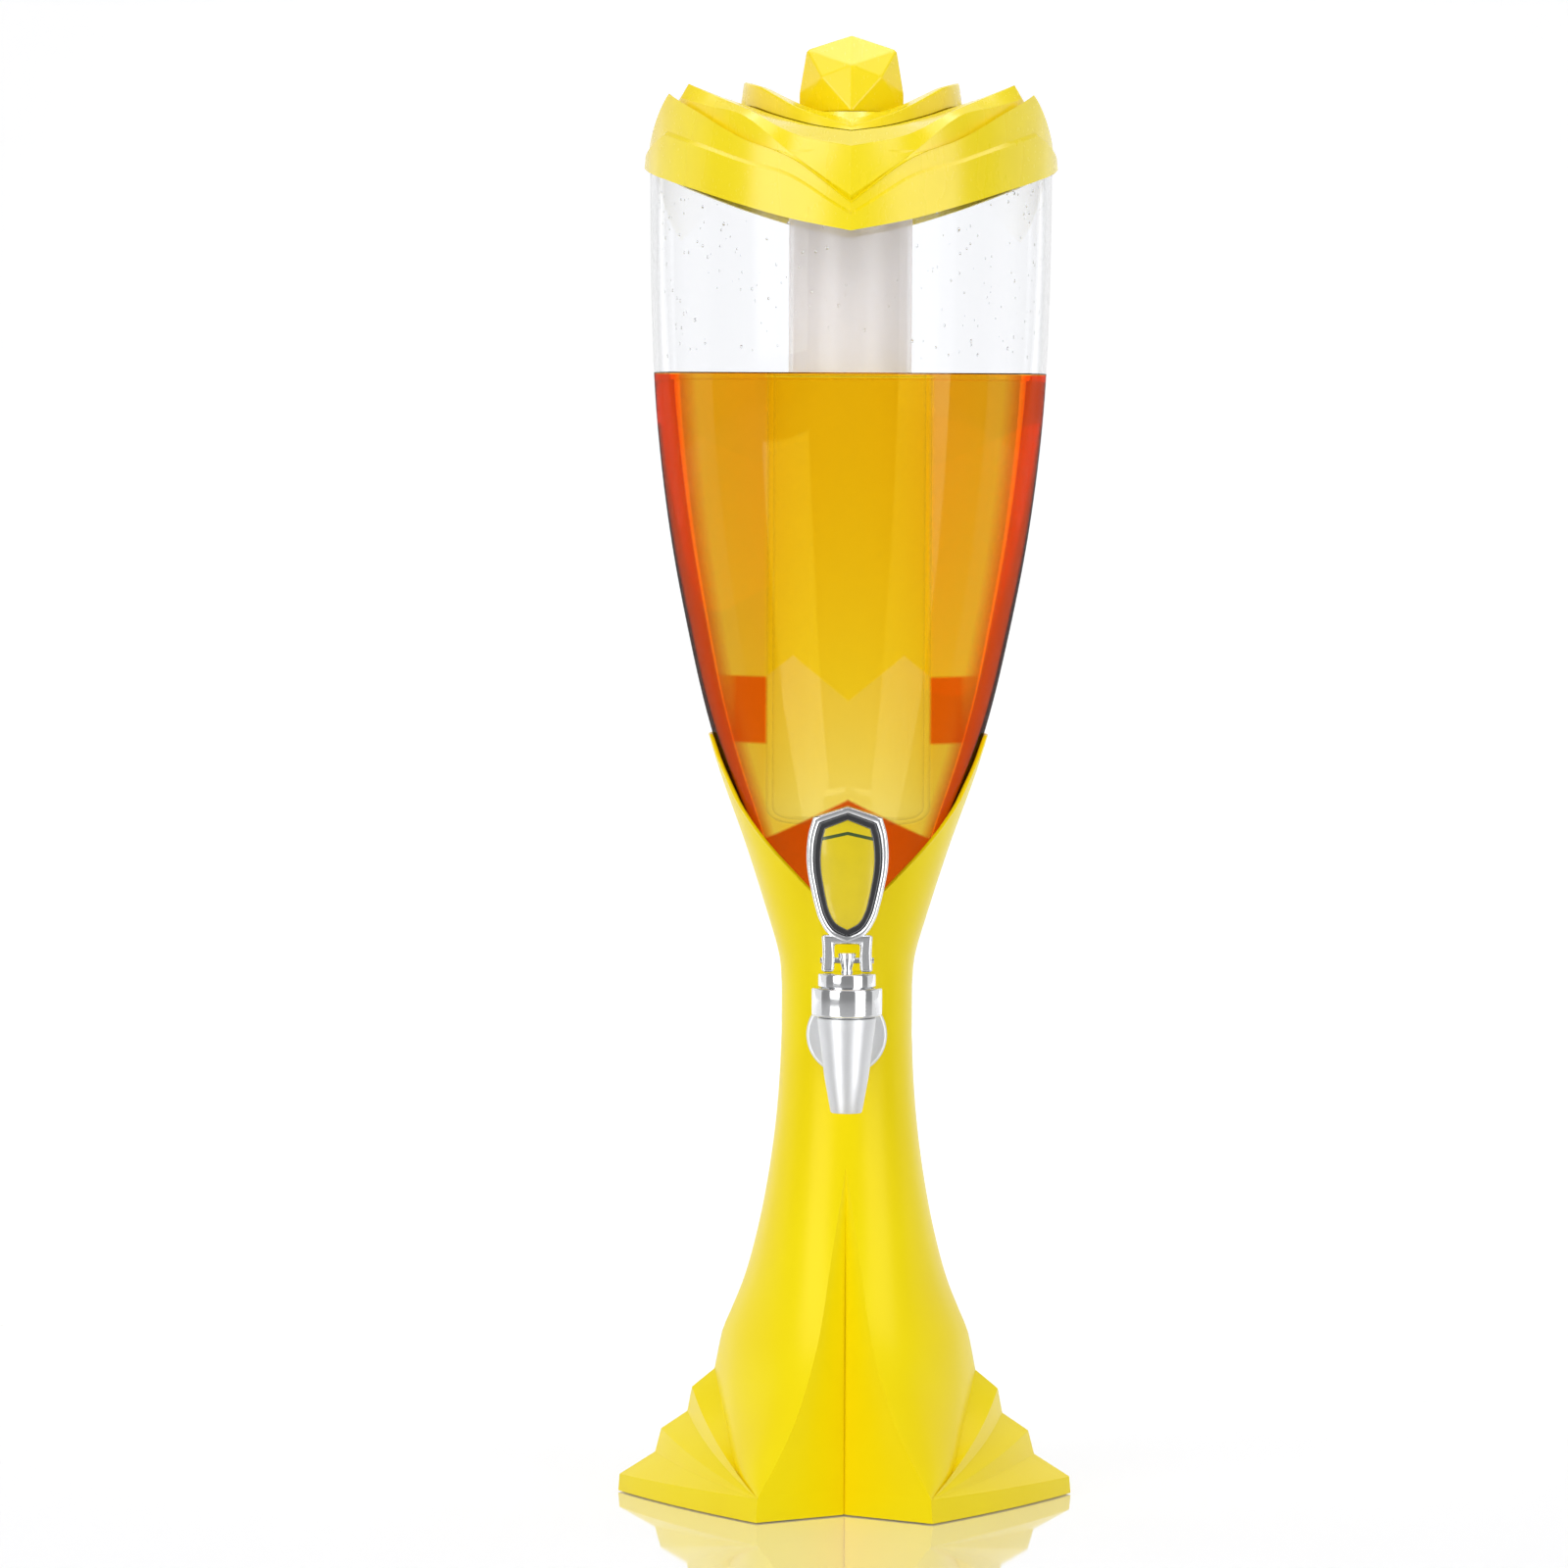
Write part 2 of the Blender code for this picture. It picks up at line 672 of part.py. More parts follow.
def build_canister():
    """Clear canister, turned with its inner wall, with the shank's hole in its spigot."""
    heights = bowl_heights(CANISTER_RIM_Z)
    floor_z = SPIGOT_BOTTOM_Z + SPIGOT_FLOOR
    inner = [(0, floor_z), (SPIGOT_INNER, floor_z)]
    inner += [(canister_radius(z) - CANISTER_WALL, z) for z in heights]
    outer = [(canister_radius(z), z) for z in reversed(heights)]
    outer.append((SPIGOT_RADIUS, SPIGOT_BOTTOM_Z + SPIGOT_EDGE))
    outer += [(SPIGOT_RADIUS - SPIGOT_EDGE, SPIGOT_BOTTOM_Z), (0, SPIGOT_BOTTOM_Z)]
    canister = turned("canister", inner + outer, clear_plastic())
    hole = SHANK_RADIUS + SHANK_HOLE_CLEARANCE
    cut(canister, shank_rod("canister_hole", hole, NECK_RADIUS, 0))


def build_canister_seat():
    """Soft ring under the canister's spigot."""
    bottom, top = SHELF_TOP_Z + SEAT_GAP, SPIGOT_BOTTOM_Z - SEAT_GAP
    outer = SPIGOT_RADIUS - SPIGOT_EDGE
    ring_turned("canister_seat", SEAT_INNER_RADIUS, outer, bottom, top, soft_rubber())


# Stand


def stand_radius(height):
    """Half width of the stand above the fan."""
    if height < NECK_WAIST_Z:
        share = (height - SPINE_TOP_Z) / (NECK_WAIST_Z - SPINE_TOP_Z)
        return blend(NECK_RADIUS, SPINE_TOP_X, smooth_at(FLARE_SHARES, share))
    if height < BOWL_Z:
        return NECK_RADIUS
    share = (height - BOWL_Z) / (CUP_TIP_Z - BOWL_Z)
    wall = blend(NECK_WALL, CUP_TIP_WALL, share)
    return canister_radius(height) + STAND_CLEARANCE + wall


def valley_top_depth():
    """Depth of the stand's front where the valley starts."""
    return stand_radius(VALLEY_TOP_Z)


def crease(height):
    """Bottom of the valley between the front lobes at a height."""
    share = max(height, 0) / VALLEY_TOP_Z
    depth = blend(valley_top_depth(), HEEL_DEPTH, smooth_at(CREASE_SHARES, share))
    return (0, -depth, height)


def ridge(height):
    """Front ridge of the right lobe at a height between the toe and the valley's top."""
    share = (height - TOE_Z) / (VALLEY_TOP_Z - TOE_Z)
    side = TOE_X * smooth_at(RIDGE_SHARES, share)
    depth = blend(valley_top_depth(), TOE_DEPTH, smooth_at(RIDGE_SHARES, share, 2))
    return (side, -depth, height)


def lobe_edge(share):
    """Outer edge of the lobe's face, from the toe to the top of the side's spine."""
    side = blend(TOE_X, SPINE_TOP_X, smooth_at(LOBE_EDGE_SHARES, share))
    depth = TOE_DEPTH * (1 - smooth_at(LOBE_EDGE_SHARES, share, 2))
    height = blend(TOE_Z, SPINE_TOP_Z, smooth_at(LOBE_EDGE_SHARES, share, 3))
    return (side, -depth, height)


def lobe_row(start, end, columns, roundness):
    """Points of a level row on the lobe, between a chord and a quarter of an ellipse."""
    row = []
    for share in steps(columns):
        angle = share * math.pi / 2
        side = blend(blend(start[0], end[0], share), blend(start[0], end[0], math.sin(angle)), roundness)
        bow = 1 - math.cos(angle)
        depth = blend(blend(start[1], end[1], share), blend(start[1], end[1], bow), roundness)
        row.append((side, depth, start[2]))
    return row


def roundness_at(height):
    """How round the lobe's face is at a height: flat at the toe, round above the valley."""
    share = min(max((height - TOE_Z) / (VALLEY_TOP_Z - TOE_Z), 0), 1)
    return blend(LOBE_FLATNESS_SHARE, 1, share)


def fan_ray(target):
    """Crest or groove of the fan from the toe to a point of the side's spine."""
    ray = []
    for share in steps(LOBE_COLUMNS):
        bulge = FAN_BULGE * 4 * share * (1 - share)
        side = blend(TOE_X, target[0], share) + bulge
        ray.append((side, -TOE_DEPTH * (1 - share), blend(TOE_Z, target[1], share)))
    return ray


def spine_shares():
    """Places of the fan's grooves and crests along the spine, from its end to its top."""
    end, low, high = GROOVE_SPINE_SHARES
    return [end, low, CREST_SPINE_SHARES[0], high, CREST_SPINE_SHARES[1]]


def foot_rows(spine):
    """Quarter rows of the foot from the floor up to the top of the spine, with rays to its places."""
    floor_row = []
    for side, depth, height in fan_ray((SPINE_END_X, SPINE_END_Z)):
        floor_row.append((side + TOE_FLARE, depth * (1 + TOE_FLARE / TOE_DEPTH), FEET_PROUD))
    rows = [[crease(FEET_PROUD)] + floor_row]
    for side_share, height_share in spine:
        side = blend(SPINE_END_X, SPINE_TOP_X, side_share)
        height = blend(SPINE_END_Z, SPINE_TOP_Z, height_share)
        rows.append([crease(TOE_Z)] + fan_ray((side, height)))
    edge = [lobe_edge(share) for share in steps(LOBE_COLUMNS)]
    rows.append([crease(TOE_Z)] + edge)
    for column in range(1, LOBE_COLUMNS):
        height = edge[column][2]
        face = lobe_row(ridge(height), edge[column], column, roundness_at(height))
        rows.append([crease(height)] + face + edge[column + 1:])
    return rows


def upper_rows(top):
    """Quarter rows of the stand from the top of the spine up to a height."""
    flare = [blend(SPINE_TOP_Z, VALLEY_TOP_Z, share) for share in steps(FLARE_ROWS)]
    neck = [blend(VALLEY_TOP_Z, BOWL_Z, share) for share in steps(NECK_ROWS)[1:]]
    cup = [blend(BOWL_Z, CUP_TIP_Z, share) for share in steps(CUP_ROWS)[1:]]
    rows = []
    for height in flare + neck + cup:
        if height > top:
            break
        width = stand_radius(height)
        if height < VALLEY_TOP_Z:
            front, fold = ridge(height), crease(height)
        else:
            front = fold = (0, -width, height)
        side = (width, 0, height)
        rows.append([fold] + lobe_row(front, side, LOBE_COLUMNS, roundness_at(height)))
    return rows


def shrunk(row, wall):
    """Row drawn towards the axis so that its valley moves in by a wall."""
    share = 1 - wall / -row[0][1]
    return [(x * share, y * share, z) for x, y, z in row]


def lowered(row, height):
    """Row moved to one height."""
    return [(x, y, height) for x, y, z in row]


def stand_outer(name, offset=0.0):
    """Whole outer shape of the stand, grown by an offset at its valleys."""
    rows = [full_ring(shrunk(row, -offset)) for row in foot_rows(spine_shares()) + upper_rows(CUP_TIP_Z)]
    return ring_loft(name, rows)


def stand_cavity(name):
    """Hollow under the shelf, open at the floor, with a side that follows the fan's grooves only."""
    roof = SHELF_TOP_Z - SHELF_THICKNESS
    whole = foot_rows(GROOVE_SPINE_SHARES) + upper_rows(roof)
    quarter_rows = [shrunk(row, FOOT_WALL) for row in whole]
    below = lowered(quarter_rows[0], -CUT_OVERRUN)
    capped = lowered(quarter_rows[-1], roof)
    return ring_loft(name, [full_ring(row) for row in [below] + quarter_rows + [capped]])


def canister_space():
    """Cutter of the canister's shape with clearance, up past the cup's tips."""
    top = CUP_TIP_Z + CUT_OVERRUN
    heights = bowl_heights(CANISTER_RIM_Z)
    profile = [(0, top)]
    outline = [z for z in heights if z < top] + [top]
    profile += [(canister_radius(z) + STAND_CLEARANCE, z) for z in reversed(outline)]
    profile += [(SPIGOT_RADIUS + STAND_CLEARANCE, SHELF_TOP_Z), (0, SHELF_TOP_Z)]
    return turned("canister_space", profile)


def petal_opening():
    """Cutter that opens the cup at its front and back, down to a rounded point."""
    reach = CUP_TIP_Z - CUP_NOTCH_Z
    width = stand_radius(CUP_TIP_Z)
    right = [(width * side, CUP_NOTCH_Z + reach * rise) for side, rise in CUP_NOTCH_SHARES]
    right.append((right[-1][0], CUP_TIP_Z + CUT_OVERRUN))
    outline = right + [(-x, z) for x, z in reversed(right[1:])]
    far = width + CUT_OVERRUN
    return flat_plate("petal_opening", outline, far, -far)


def boss_places():
    """Places of the four screw bosses."""
    return [(x, y) for x in (-BOSS_X, BOSS_X) for y in (-BOSS_DEPTH, BOSS_DEPTH)]


def build_stand():
    """Stand shell: outer shape, hollow foot, seat of the canister, petals and screw bosses."""
    stand = place(stand_outer("stand_shell"), "stand_shell", yellow_plastic())
    cut(stand, place(stand_cavity("foot_cavity"), "foot_cavity"))
    cut(stand, canister_space())
    cut(stand, petal_opening())
    boss_bottom = PLATE_TOP_Z + SEAT_GAP
    bosses = []
    pilots = []
    for x, y in boss_places():
        foot = (x, y, boss_bottom)
        bosses.append(rod("boss", BOSS_RADIUS, foot, (x, y, BOSS_TOP_Z), count=TINY_STEPS))
        pilot_top = (x, y, boss_bottom + PILOT_DEPTH)
        pilot_foot = (x, y, boss_bottom - CUT_OVERRUN)
        pilots.append(rod("pilot", PILOT_RADIUS, pilot_foot, pilot_top, count=TINY_STEPS))
    boss_set = place(joined("bosses", bosses), "bosses")
    cut(boss_set, place(stand_outer("boss_limit", -BOSS_INSET), "boss_limit"), "INTERSECT")
    cut(stand, boss_set, "UNION")
    cut(stand, place(joined("pilots", pilots), "pilots"))
    hole = SHANK_RADIUS + SHANK_HOLE_CLEARANCE
    cut(stand, shank_rod("stand_hole", hole, NECK_RADIUS + CUT_OVERRUN, 0))


# Base plate, screws and feet


def plate_ring(height):
    """Outline of the base plate at a height."""
    floor_row, toe_row = foot_rows(GROOVE_SPINE_SHARES)[:2]
    share = (PLATE_TOP_Z - FEET_PROUD) / (TOE_Z - FEET_PROUD)
    row = []
    for low, high in zip(floor_row, toe_row):
        row.append((blend(low[0], high[0], share), blend(low[1], high[1], share), height))
    return full_ring(shrunk(row, FOOT_WALL + PLATE_CLEARANCE))


def pad_places():
    """Places of the four feet, near the toes."""
    return [(x, y) for x in (-PAD_X, PAD_X) for y in (-PAD_DEPTH, PAD_DEPTH)]


def build_base():
    """Base plate with sunk screws and four soft feet in round recesses."""
    plate_mesh = ring_loft("base_plate", [plate_ring(PLATE_BOTTOM_Z), plate_ring(PLATE_TOP_Z)])
    plate = place(plate_mesh, "base_plate", yellow_plastic())
    head_z = PLATE_BOTTOM_Z + SCREW_HEAD_HEIGHT
    recess_z = PLATE_BOTTOM_Z + PAD_RECESS
    under = PLATE_BOTTOM_Z - CUT_OVERRUN
    cuts = []
    for number, (x, y) in enumerate(boss_places(), 1):
        shaft = SCREW_RADIUS + SEAT_GAP
        head = SCREW_HEAD_RADIUS + SEAT_GAP
        through = PLATE_TOP_Z + CUT_OVERRUN
        cuts.append(rod("shaft_hole", shaft, (x, y, head_z), (x, y, through), count=TINY_STEPS))
        cuts.append(rod("head_hole", head, (x, y, under), (x, y, head_z + SEAT_GAP), count=TINY_STEPS))
        screw = [
            (0, head_z + SCREW_LENGTH),
            (SCREW_RADIUS, head_z + SCREW_LENGTH),
            (SCREW_RADIUS, head_z),
            (SCREW_HEAD_RADIUS, head_z),
            (SCREW_HEAD_RADIUS, PLATE_BOTTOM_Z),
            (0, PLATE_BOTTOM_Z),
        ]
        turned(f"base_screw_{number}", screw, steel(), TINY_STEPS).location = (x, y, 0)
    for number, (x, y) in enumerate(pad_places(), 1):
        recess = PAD_RADIUS + SEAT_GAP
        top = (x, y, recess_z - SEAT_GAP)
        cuts.append(rod("pad_hole", recess, (x, y, under), (x, y, recess_z), count=TINY_STEPS))
        rod(f"rubber_foot_{number}", PAD_RADIUS, (x, y, 0), top, soft_rubber(), TINY_STEPS)
    for cutter in cuts:
        cut(plate, cutter)


# Lid, ice tube, collar and knob


def lid_point(angle, radius, height):
    """Point at an angle from the side towards the front."""
    turn = math.radians(angle)
    return (radius * math.cos(turn), -radius * math.sin(turn), height)


def lid_ring(shares):
    """Full ring of the lid from its radius and depth shares."""
    quarter = []
    for angle in LID_STATIONS:
        radius = LID_RADIUS * at_angle(shares[0], angle)
        height = KEEL_Z + LID_DEPTH * at_angle(shares[1], angle)
        quarter.append(lid_point(angle, radius, height))
    return full_ring(quarter)


def under_ring(shares, draw_in):
    """Ring under one of the lid's rings, a wall below it and no lower than the seat."""
    quarter = []
    for angle in LID_STATIONS:
        radius = min(LID_RADIUS * at_angle(shares[0], angle) - draw_in, LID_RADIUS * LID_SEAT_WIDTH_SHARE)
        height = KEEL_Z + LID_DEPTH * at_angle(shares[1], angle) - LID_WALL
        quarter.append(lid_point(angle, radius, max(height, LID_SEAT_Z)))
    return full_ring(quarter)


def collar_ring(draw_in, shares, rise=0.0):
    """Ring on the collar's plan, drawn in, at its height shares."""
    quarter = []
    for angle in LID_STATIONS:
        radius = COLLAR_SIDE_RADIUS * at_angle(COLLAR_PLAN_SHARES, angle) - draw_in
        height = COLLAR_Z + COLLAR_HEIGHT * at_angle(shares, angle) + rise
        quarter.append(lid_point(angle, radius, height))
    return full_ring(quarter)


def round_ring(radius, height):
    """Round ring at one height."""
    return full_ring([lid_point(angle, radius, height) for angle in LID_STATIONS])


def skirt_inner_ring():
    """Inner edge of the skirt's foot."""
    quarter = []
    for angle in LID_STATIONS:
        height = KEEL_Z + LID_DEPTH * at_angle(SKIRT_FOOT_SHARES[1], angle)
        quarter.append(lid_point(angle, LID_SKIRT_INNER, height))
    return full_ring(quarter)


def build_lid():
    """Lid: skirt with corner tips, leaves, crown, and the well of the ice tube."""
    collar_gap = SEAT_GAP + COLLAR_LIP_DROP
    well_foot = WELL_FLOOR_Z - LID_WALL
    well_outer = WELL_RADIUS + LID_WALL
    hole = TUBE_RADIUS + TUBE_CLEARANCE
    outside = (SKIRT_FOOT_SHARES, SKIRT_EDGE_SHARES, SKIRT_LIP_SHARES, GROOVE_SHARES)
    raised = (LEAF_EDGE_SHARES, LEAF_CREST_SHARES, CROWN_SHARES)
    rings = [lid_ring(shares) for shares in outside + raised]
    rings.append(collar_ring(-collar_gap, COLLAR_FOOT_SHARES, -SEAT_GAP))
    rings.append(round_ring(well_outer, WELL_FLOOR_Z + WELL_DEPTH))
    rings.append(round_ring(WELL_RADIUS, WELL_FLOOR_Z + WELL_DEPTH))
    rings.append(round_ring(WELL_RADIUS, WELL_FLOOR_Z))
    rings.append(round_ring(hole, WELL_FLOOR_Z))
    rings.append(round_ring(hole, well_foot))
    rings.append(round_ring(well_outer, well_foot))
    rings.append(round_ring(well_outer, WELL_FLOOR_Z + WELL_DEPTH - LID_WALL))
    rings.append(collar_ring(-collar_gap, COLLAR_FOOT_SHARES, -SEAT_GAP - LID_WALL))
    rings.append(under_ring(CROWN_SHARES, 0.0))
    rings.append(under_ring(LEAF_CREST_SHARES, LID_WALL))
    rings.append(round_ring(LID_RADIUS * LID_SEAT_WIDTH_SHARE, LID_SEAT_Z))
    rings.append(round_ring(LID_SKIRT_INNER, LID_SEAT_Z))
    rings.append(skirt_inner_ring())
    place(ring_loft("lid", rings, closed=True), "lid", yellow_plastic())
    outer = CANISTER_RADIUS - SEAT_GAP
    bottom, top = CANISTER_RIM_Z + SEAT_GAP, LID_SEAT_Z - SEAT_GAP
    ring_turned("lid_seal", outer - LID_SEAL_WIDTH, outer, bottom, top, soft_rubber())


def build_ice_tube():
    """Clear tube, closed at its foot, that hangs in the lid's well by its flange."""
    inner = TUBE_RADIUS - TUBE_WALL
    foot = TUBE_BOTTOM_Z + TUBE_WALL
    rounding = [math.pi / 2 * share for share in steps(TUBE_CORNER_STEPS)]
    inside = [(0, foot)]
    for angle in rounding:
        radius = inner - TUBE_ROUNDING * (1 - math.sin(angle))
        inside.append((radius, foot + TUBE_ROUNDING * (1 - math.cos(angle))))
    outside = []
    outer_rounding = TUBE_ROUNDING + TUBE_WALL
    for angle in reversed(rounding):
        radius = TUBE_RADIUS - outer_rounding * (1 - math.sin(angle))
        outside.append((radius, TUBE_BOTTOM_Z + outer_rounding * (1 - math.cos(angle))))
    flange = [
        (inner, TUBE_TOP_Z),
        (TUBE_FLANGE_RADIUS, TUBE_TOP_Z),
        (TUBE_FLANGE_RADIUS, TUBE_FLANGE_Z),
        (TUBE_RADIUS, TUBE_FLANGE_Z),
    ]
    profile = inside + flange + outside + [(0, TUBE_BOTTOM_Z)]
    turned("ice_tube", profile, clear_plastic())
    ring_inner = TUBE_RADIUS + TUBE_CLEARANCE + SEAT_GAP
    ring_outer = ring_inner + SOFT_RING_WIDTH
    low = WELL_FLOOR_Z + SEAT_GAP
    high = TUBE_FLANGE_Z - SEAT_GAP
    ring_turned("tube_seal", ring_inner, ring_outer, low, high, soft_rubber())
    low = TUBE_TOP_Z + SEAT_GAP
    high = COLLAR_Z - SEAT_GAP
    ring_turned("collar_seal", ring_inner, ring_outer, low, high, soft_rubber())


def build_collar():
    """Collar with a V-shaped front whose plug closes the ice tube."""
    plug = TUBE_RADIUS - TUBE_WALL - PLUG_CLEARANCE
    plug_inner = plug - PLUG_WALL
    hole = KNOB_SCREW_RADIUS + SEAT_GAP
    roof = COLLAR_Z + PLUG_ROOF_RISE
    seat = KNOB_HALF_WIDTH + KNOB_SEAT_MARGIN
    lip = COLLAR_LEAN + COLLAR_LIP
    basin = []
    for angle in LID_STATIONS:
        rim = COLLAR_Z + COLLAR_HEIGHT * at_angle(COLLAR_EDGE_SHARES, angle) - COLLAR_LIP_DROP
        basin.append(lid_point(angle, seat + BASIN_WIDTH, blend(KNOB_SEAT_Z, rim, BASIN_DROP_SHARE)))
    rings = [
        round_ring(hole, roof),
        round_ring(plug_inner, roof),
        round_ring(plug_inner, COLLAR_Z - PLUG_DEPTH),
        round_ring(plug, COLLAR_Z - PLUG_DEPTH),
        round_ring(plug, COLLAR_Z),
        round_ring(WELL_RADIUS + LID_WALL, COLLAR_Z),
        collar_ring(COLLAR_WALL, COLLAR_FOOT_SHARES),
        collar_ring(0.0, COLLAR_FOOT_SHARES),
        collar_ring(COLLAR_LEAN, COLLAR_EDGE_SHARES),
        collar_ring(lip, COLLAR_EDGE_SHARES, -COLLAR_LIP_DROP),
        full_ring(basin),
        round_ring(seat, KNOB_SEAT_Z),
        round_ring(hole, KNOB_SEAT_Z),
    ]
    place(ring_loft("ice_collar", rings, closed=True), "ice_collar", yellow_plastic())


def build_knob():
    """Faceted knob with a pilot hole, and the screw that holds it from below."""
    bm = bmesh.new()
    for side, depth, height in KNOB_SHARES:
        for right in (-1, 1):
            for back in (-1, 1):
                x = right * side * KNOB_HALF_WIDTH
                y = back * depth * KNOB_HALF_DEPTH
                bm.verts.new((x, y, KNOB_Z + height * KNOB_HEIGHT))
    bmesh.ops.remove_doubles(bm, verts=bm.verts, dist=MERGE_DISTANCE)
    hull = bmesh.ops.convex_hull(bm, input=bm.verts)
    inside = hull["geom_interior"] + hull["geom_unused"]
    bmesh.ops.delete(bm, geom=[item for item in inside if item.is_valid], context="VERTS")
    knob = place(mesh_from(bm, "cap_knob"), "cap_knob", yellow_plastic())
    pilot = KNOB_SCREW_RADIUS + SEAT_GAP
    top = (0, 0, KNOB_Z + KNOB_PILOT_DEPTH)
    cut(knob, rod("knob_pilot", pilot, (0, 0, KNOB_Z - CUT_OVERRUN), top, count=TINY_STEPS))
    roof = COLLAR_Z + PLUG_ROOF_RISE - SEAT_GAP
    profile = [
        (0, KNOB_Z + KNOB_SCREW_REACH),
        (KNOB_SCREW_RADIUS, KNOB_Z + KNOB_SCREW_REACH),
        (KNOB_SCREW_RADIUS, roof),
        (KNOB_SCREW_HEAD_RADIUS, roof),
        (KNOB_SCREW_HEAD_RADIUS, roof - KNOB_SCREW_HEAD_HEIGHT),
        (0, roof - KNOB_SCREW_HEAD_HEIGHT),
    ]
    turned("knob_screw", profile, steel(), TINY_STEPS)


# Tap


def tap_turned(name, profile, finish, count=SMALL_STEPS, closed=False):
    """Object turned about the tap's upright axis."""
    item = turned(name, profile, finish, count, closed)
    item.location = (0, -TAP_DEPTH, 0)
    return item


def build_shank():
    """Hollow shank through the neck and spigot, with gaskets, flange and nut."""
    start = ARM_FACE_DEPTH + SOCKET_DEPTH - SEAT_GAP
    depth_tube("shank", SHANK_BORE, SHANK_RADIUS, start, SHANK_END_DEPTH, chrome())
    hole = SHANK_RADIUS + SEAT_GAP
    near, far = GASKET_FACE_DEPTH, NECK_RADIUS - GASKET_RADIUS / 2
    gasket = depth_tube("outer_gasket", hole, GASKET_RADIUS, near, far, soft_rubber())
    cut(gasket, place(stand_outer("gasket_back", SEAT_GAP), "gasket_back"))
    near = GASKET_FACE_DEPTH + SEAT_GAP + TAP_FLANGE_THICKNESS
    far = GASKET_FACE_DEPTH + SEAT_GAP
    flange = depth_tube("tap_flange", hole, TAP_FLANGE_RADIUS, near, far, chrome())
    rounded(flange, TAP_FLANGE_EDGE)
    nut_face = nut_depth()
    near = SPIGOT_INNER + CUT_OVERRUN
    far = nut_face + SEAT_GAP
    inside = depth_tube("inner_gasket", hole, INNER_GASKET_RADIUS, near, far, soft_rubber())
    bottom, top = SHANK_Z - GASKET_RADIUS, SHANK_Z + GASKET_RADIUS
    radius = SPIGOT_INNER - SEAT_GAP
    spigot = rod("spigot_bore", radius, (0, 0, bottom), (0, 0, top), count=ROUND_STEPS)
    cut(inside, spigot, "INTERSECT")
    nut_far = nut_face - NUT_THICKNESS
    nut = rod("shank_nut", NUT_RADIUS, (0, -nut_face, SHANK_Z), (0, -nut_far, SHANK_Z), steel(), NUT_SIDES)
    cut(nut, shank_rod("nut_bore", hole, nut_face + CUT_OVERRUN, nut_far - CUT_OVERRUN))


def nut_depth():
    """Depth of the nut's face, where the inner gasket is still whole."""
    reach = SPIGOT_INNER ** 2 - INNER_GASKET_RADIUS ** 2
    return math.sqrt(reach) - GASKET_THICKNESS


def build_body():
    """Tap body: spout, valve chamber and the arm that the shank screws into."""
    profile = [
        (COLLAR_THREAD_RADIUS, BODY_TOP_Z),
        (COLLAR_THREAD_RADIUS, BODY_SHOULDER_Z),
        (BODY_RADIUS, BODY_SHOULDER_Z),
        (SPOUT_RADIUS, SPOUT_BOTTOM_Z),
        (0, SPOUT_BOTTOM_Z),
    ]
    body = tap_turned("tap_body", [(0, BODY_TOP_Z)] + profile, chrome())
    arm_start = (0, -TAP_DEPTH, SHANK_Z)
    arm = rod("arm", ARM_RADIUS, arm_start, (0, -ARM_FACE_DEPTH, SHANK_Z))
    cut(body, arm, "UNION")
    chamber_profile = [
        (0, BODY_TOP_Z + CUT_OVERRUN),
        (CHAMBER_RADIUS, BODY_TOP_Z + CUT_OVERRUN),
        (CHAMBER_RADIUS, CHAMBER_FLOOR_Z),
        (SPOUT_BORE, CHAMBER_FLOOR_Z - SEAT_SLOPE),
        (SPOUT_BORE, SPOUT_BOTTOM_Z - CUT_OVERRUN),
        (0, SPOUT_BOTTOM_Z - CUT_OVERRUN),
    ]
    cut(body, tap_turned("chamber", chamber_profile, None))
    socket_end = ARM_FACE_DEPTH + SOCKET_DEPTH
    socket_radius = SHANK_RADIUS + SEAT_GAP
    cut(body, shank_rod("socket", socket_radius, socket_end, ARM_FACE_DEPTH - CUT_OVERRUN))
    cut(body, shank_rod("port", SHANK_BORE, TAP_DEPTH, socket_end - CUT_OVERRUN))


def build_bonnet():
    """Bonnet nut, and the bonnet that guides the stem and carries the lever's feet."""
    inner = COLLAR_THREAD_RADIUS + THREAD_CLEARANCE
    top = BONNET_NUT_BOTTOM_Z + BONNET_NUT_HEIGHT
    edge = BONNET_NUT_EDGE
    nut = [
        (inner, top),
        (BONNET_NUT_RADIUS - edge, top),
        (BONNET_NUT_RADIUS, top - edge),
        (BONNET_NUT_RADIUS, BONNET_NUT_BOTTOM_Z + edge),
        (BONNET_NUT_RADIUS - edge, BONNET_NUT_BOTTOM_Z),
        (inner, BONNET_NUT_BOTTOM_Z),
    ]
    tap_turned("bonnet_nut", nut, chrome(), closed=True)
    bore = STEM_RADIUS + STEM_CLEARANCE
    foot = inner - SEAT_GAP
    seat = top + SEAT_GAP
    bonnet = [
        (bore, BONNET_TOP_Z),
        (BONNET_RADIUS - BONNET_EDGE, BONNET_TOP_Z),
        (BONNET_RADIUS, BONNET_TOP_Z - BONNET_EDGE),
        (BONNET_RADIUS, seat),
        (foot, seat),
        (foot, BODY_TOP_Z + SEAT_GAP),
        (bore, BODY_TOP_Z + SEAT_GAP),
    ]
    tap_turned("bonnet", bonnet, chrome(), closed=True)


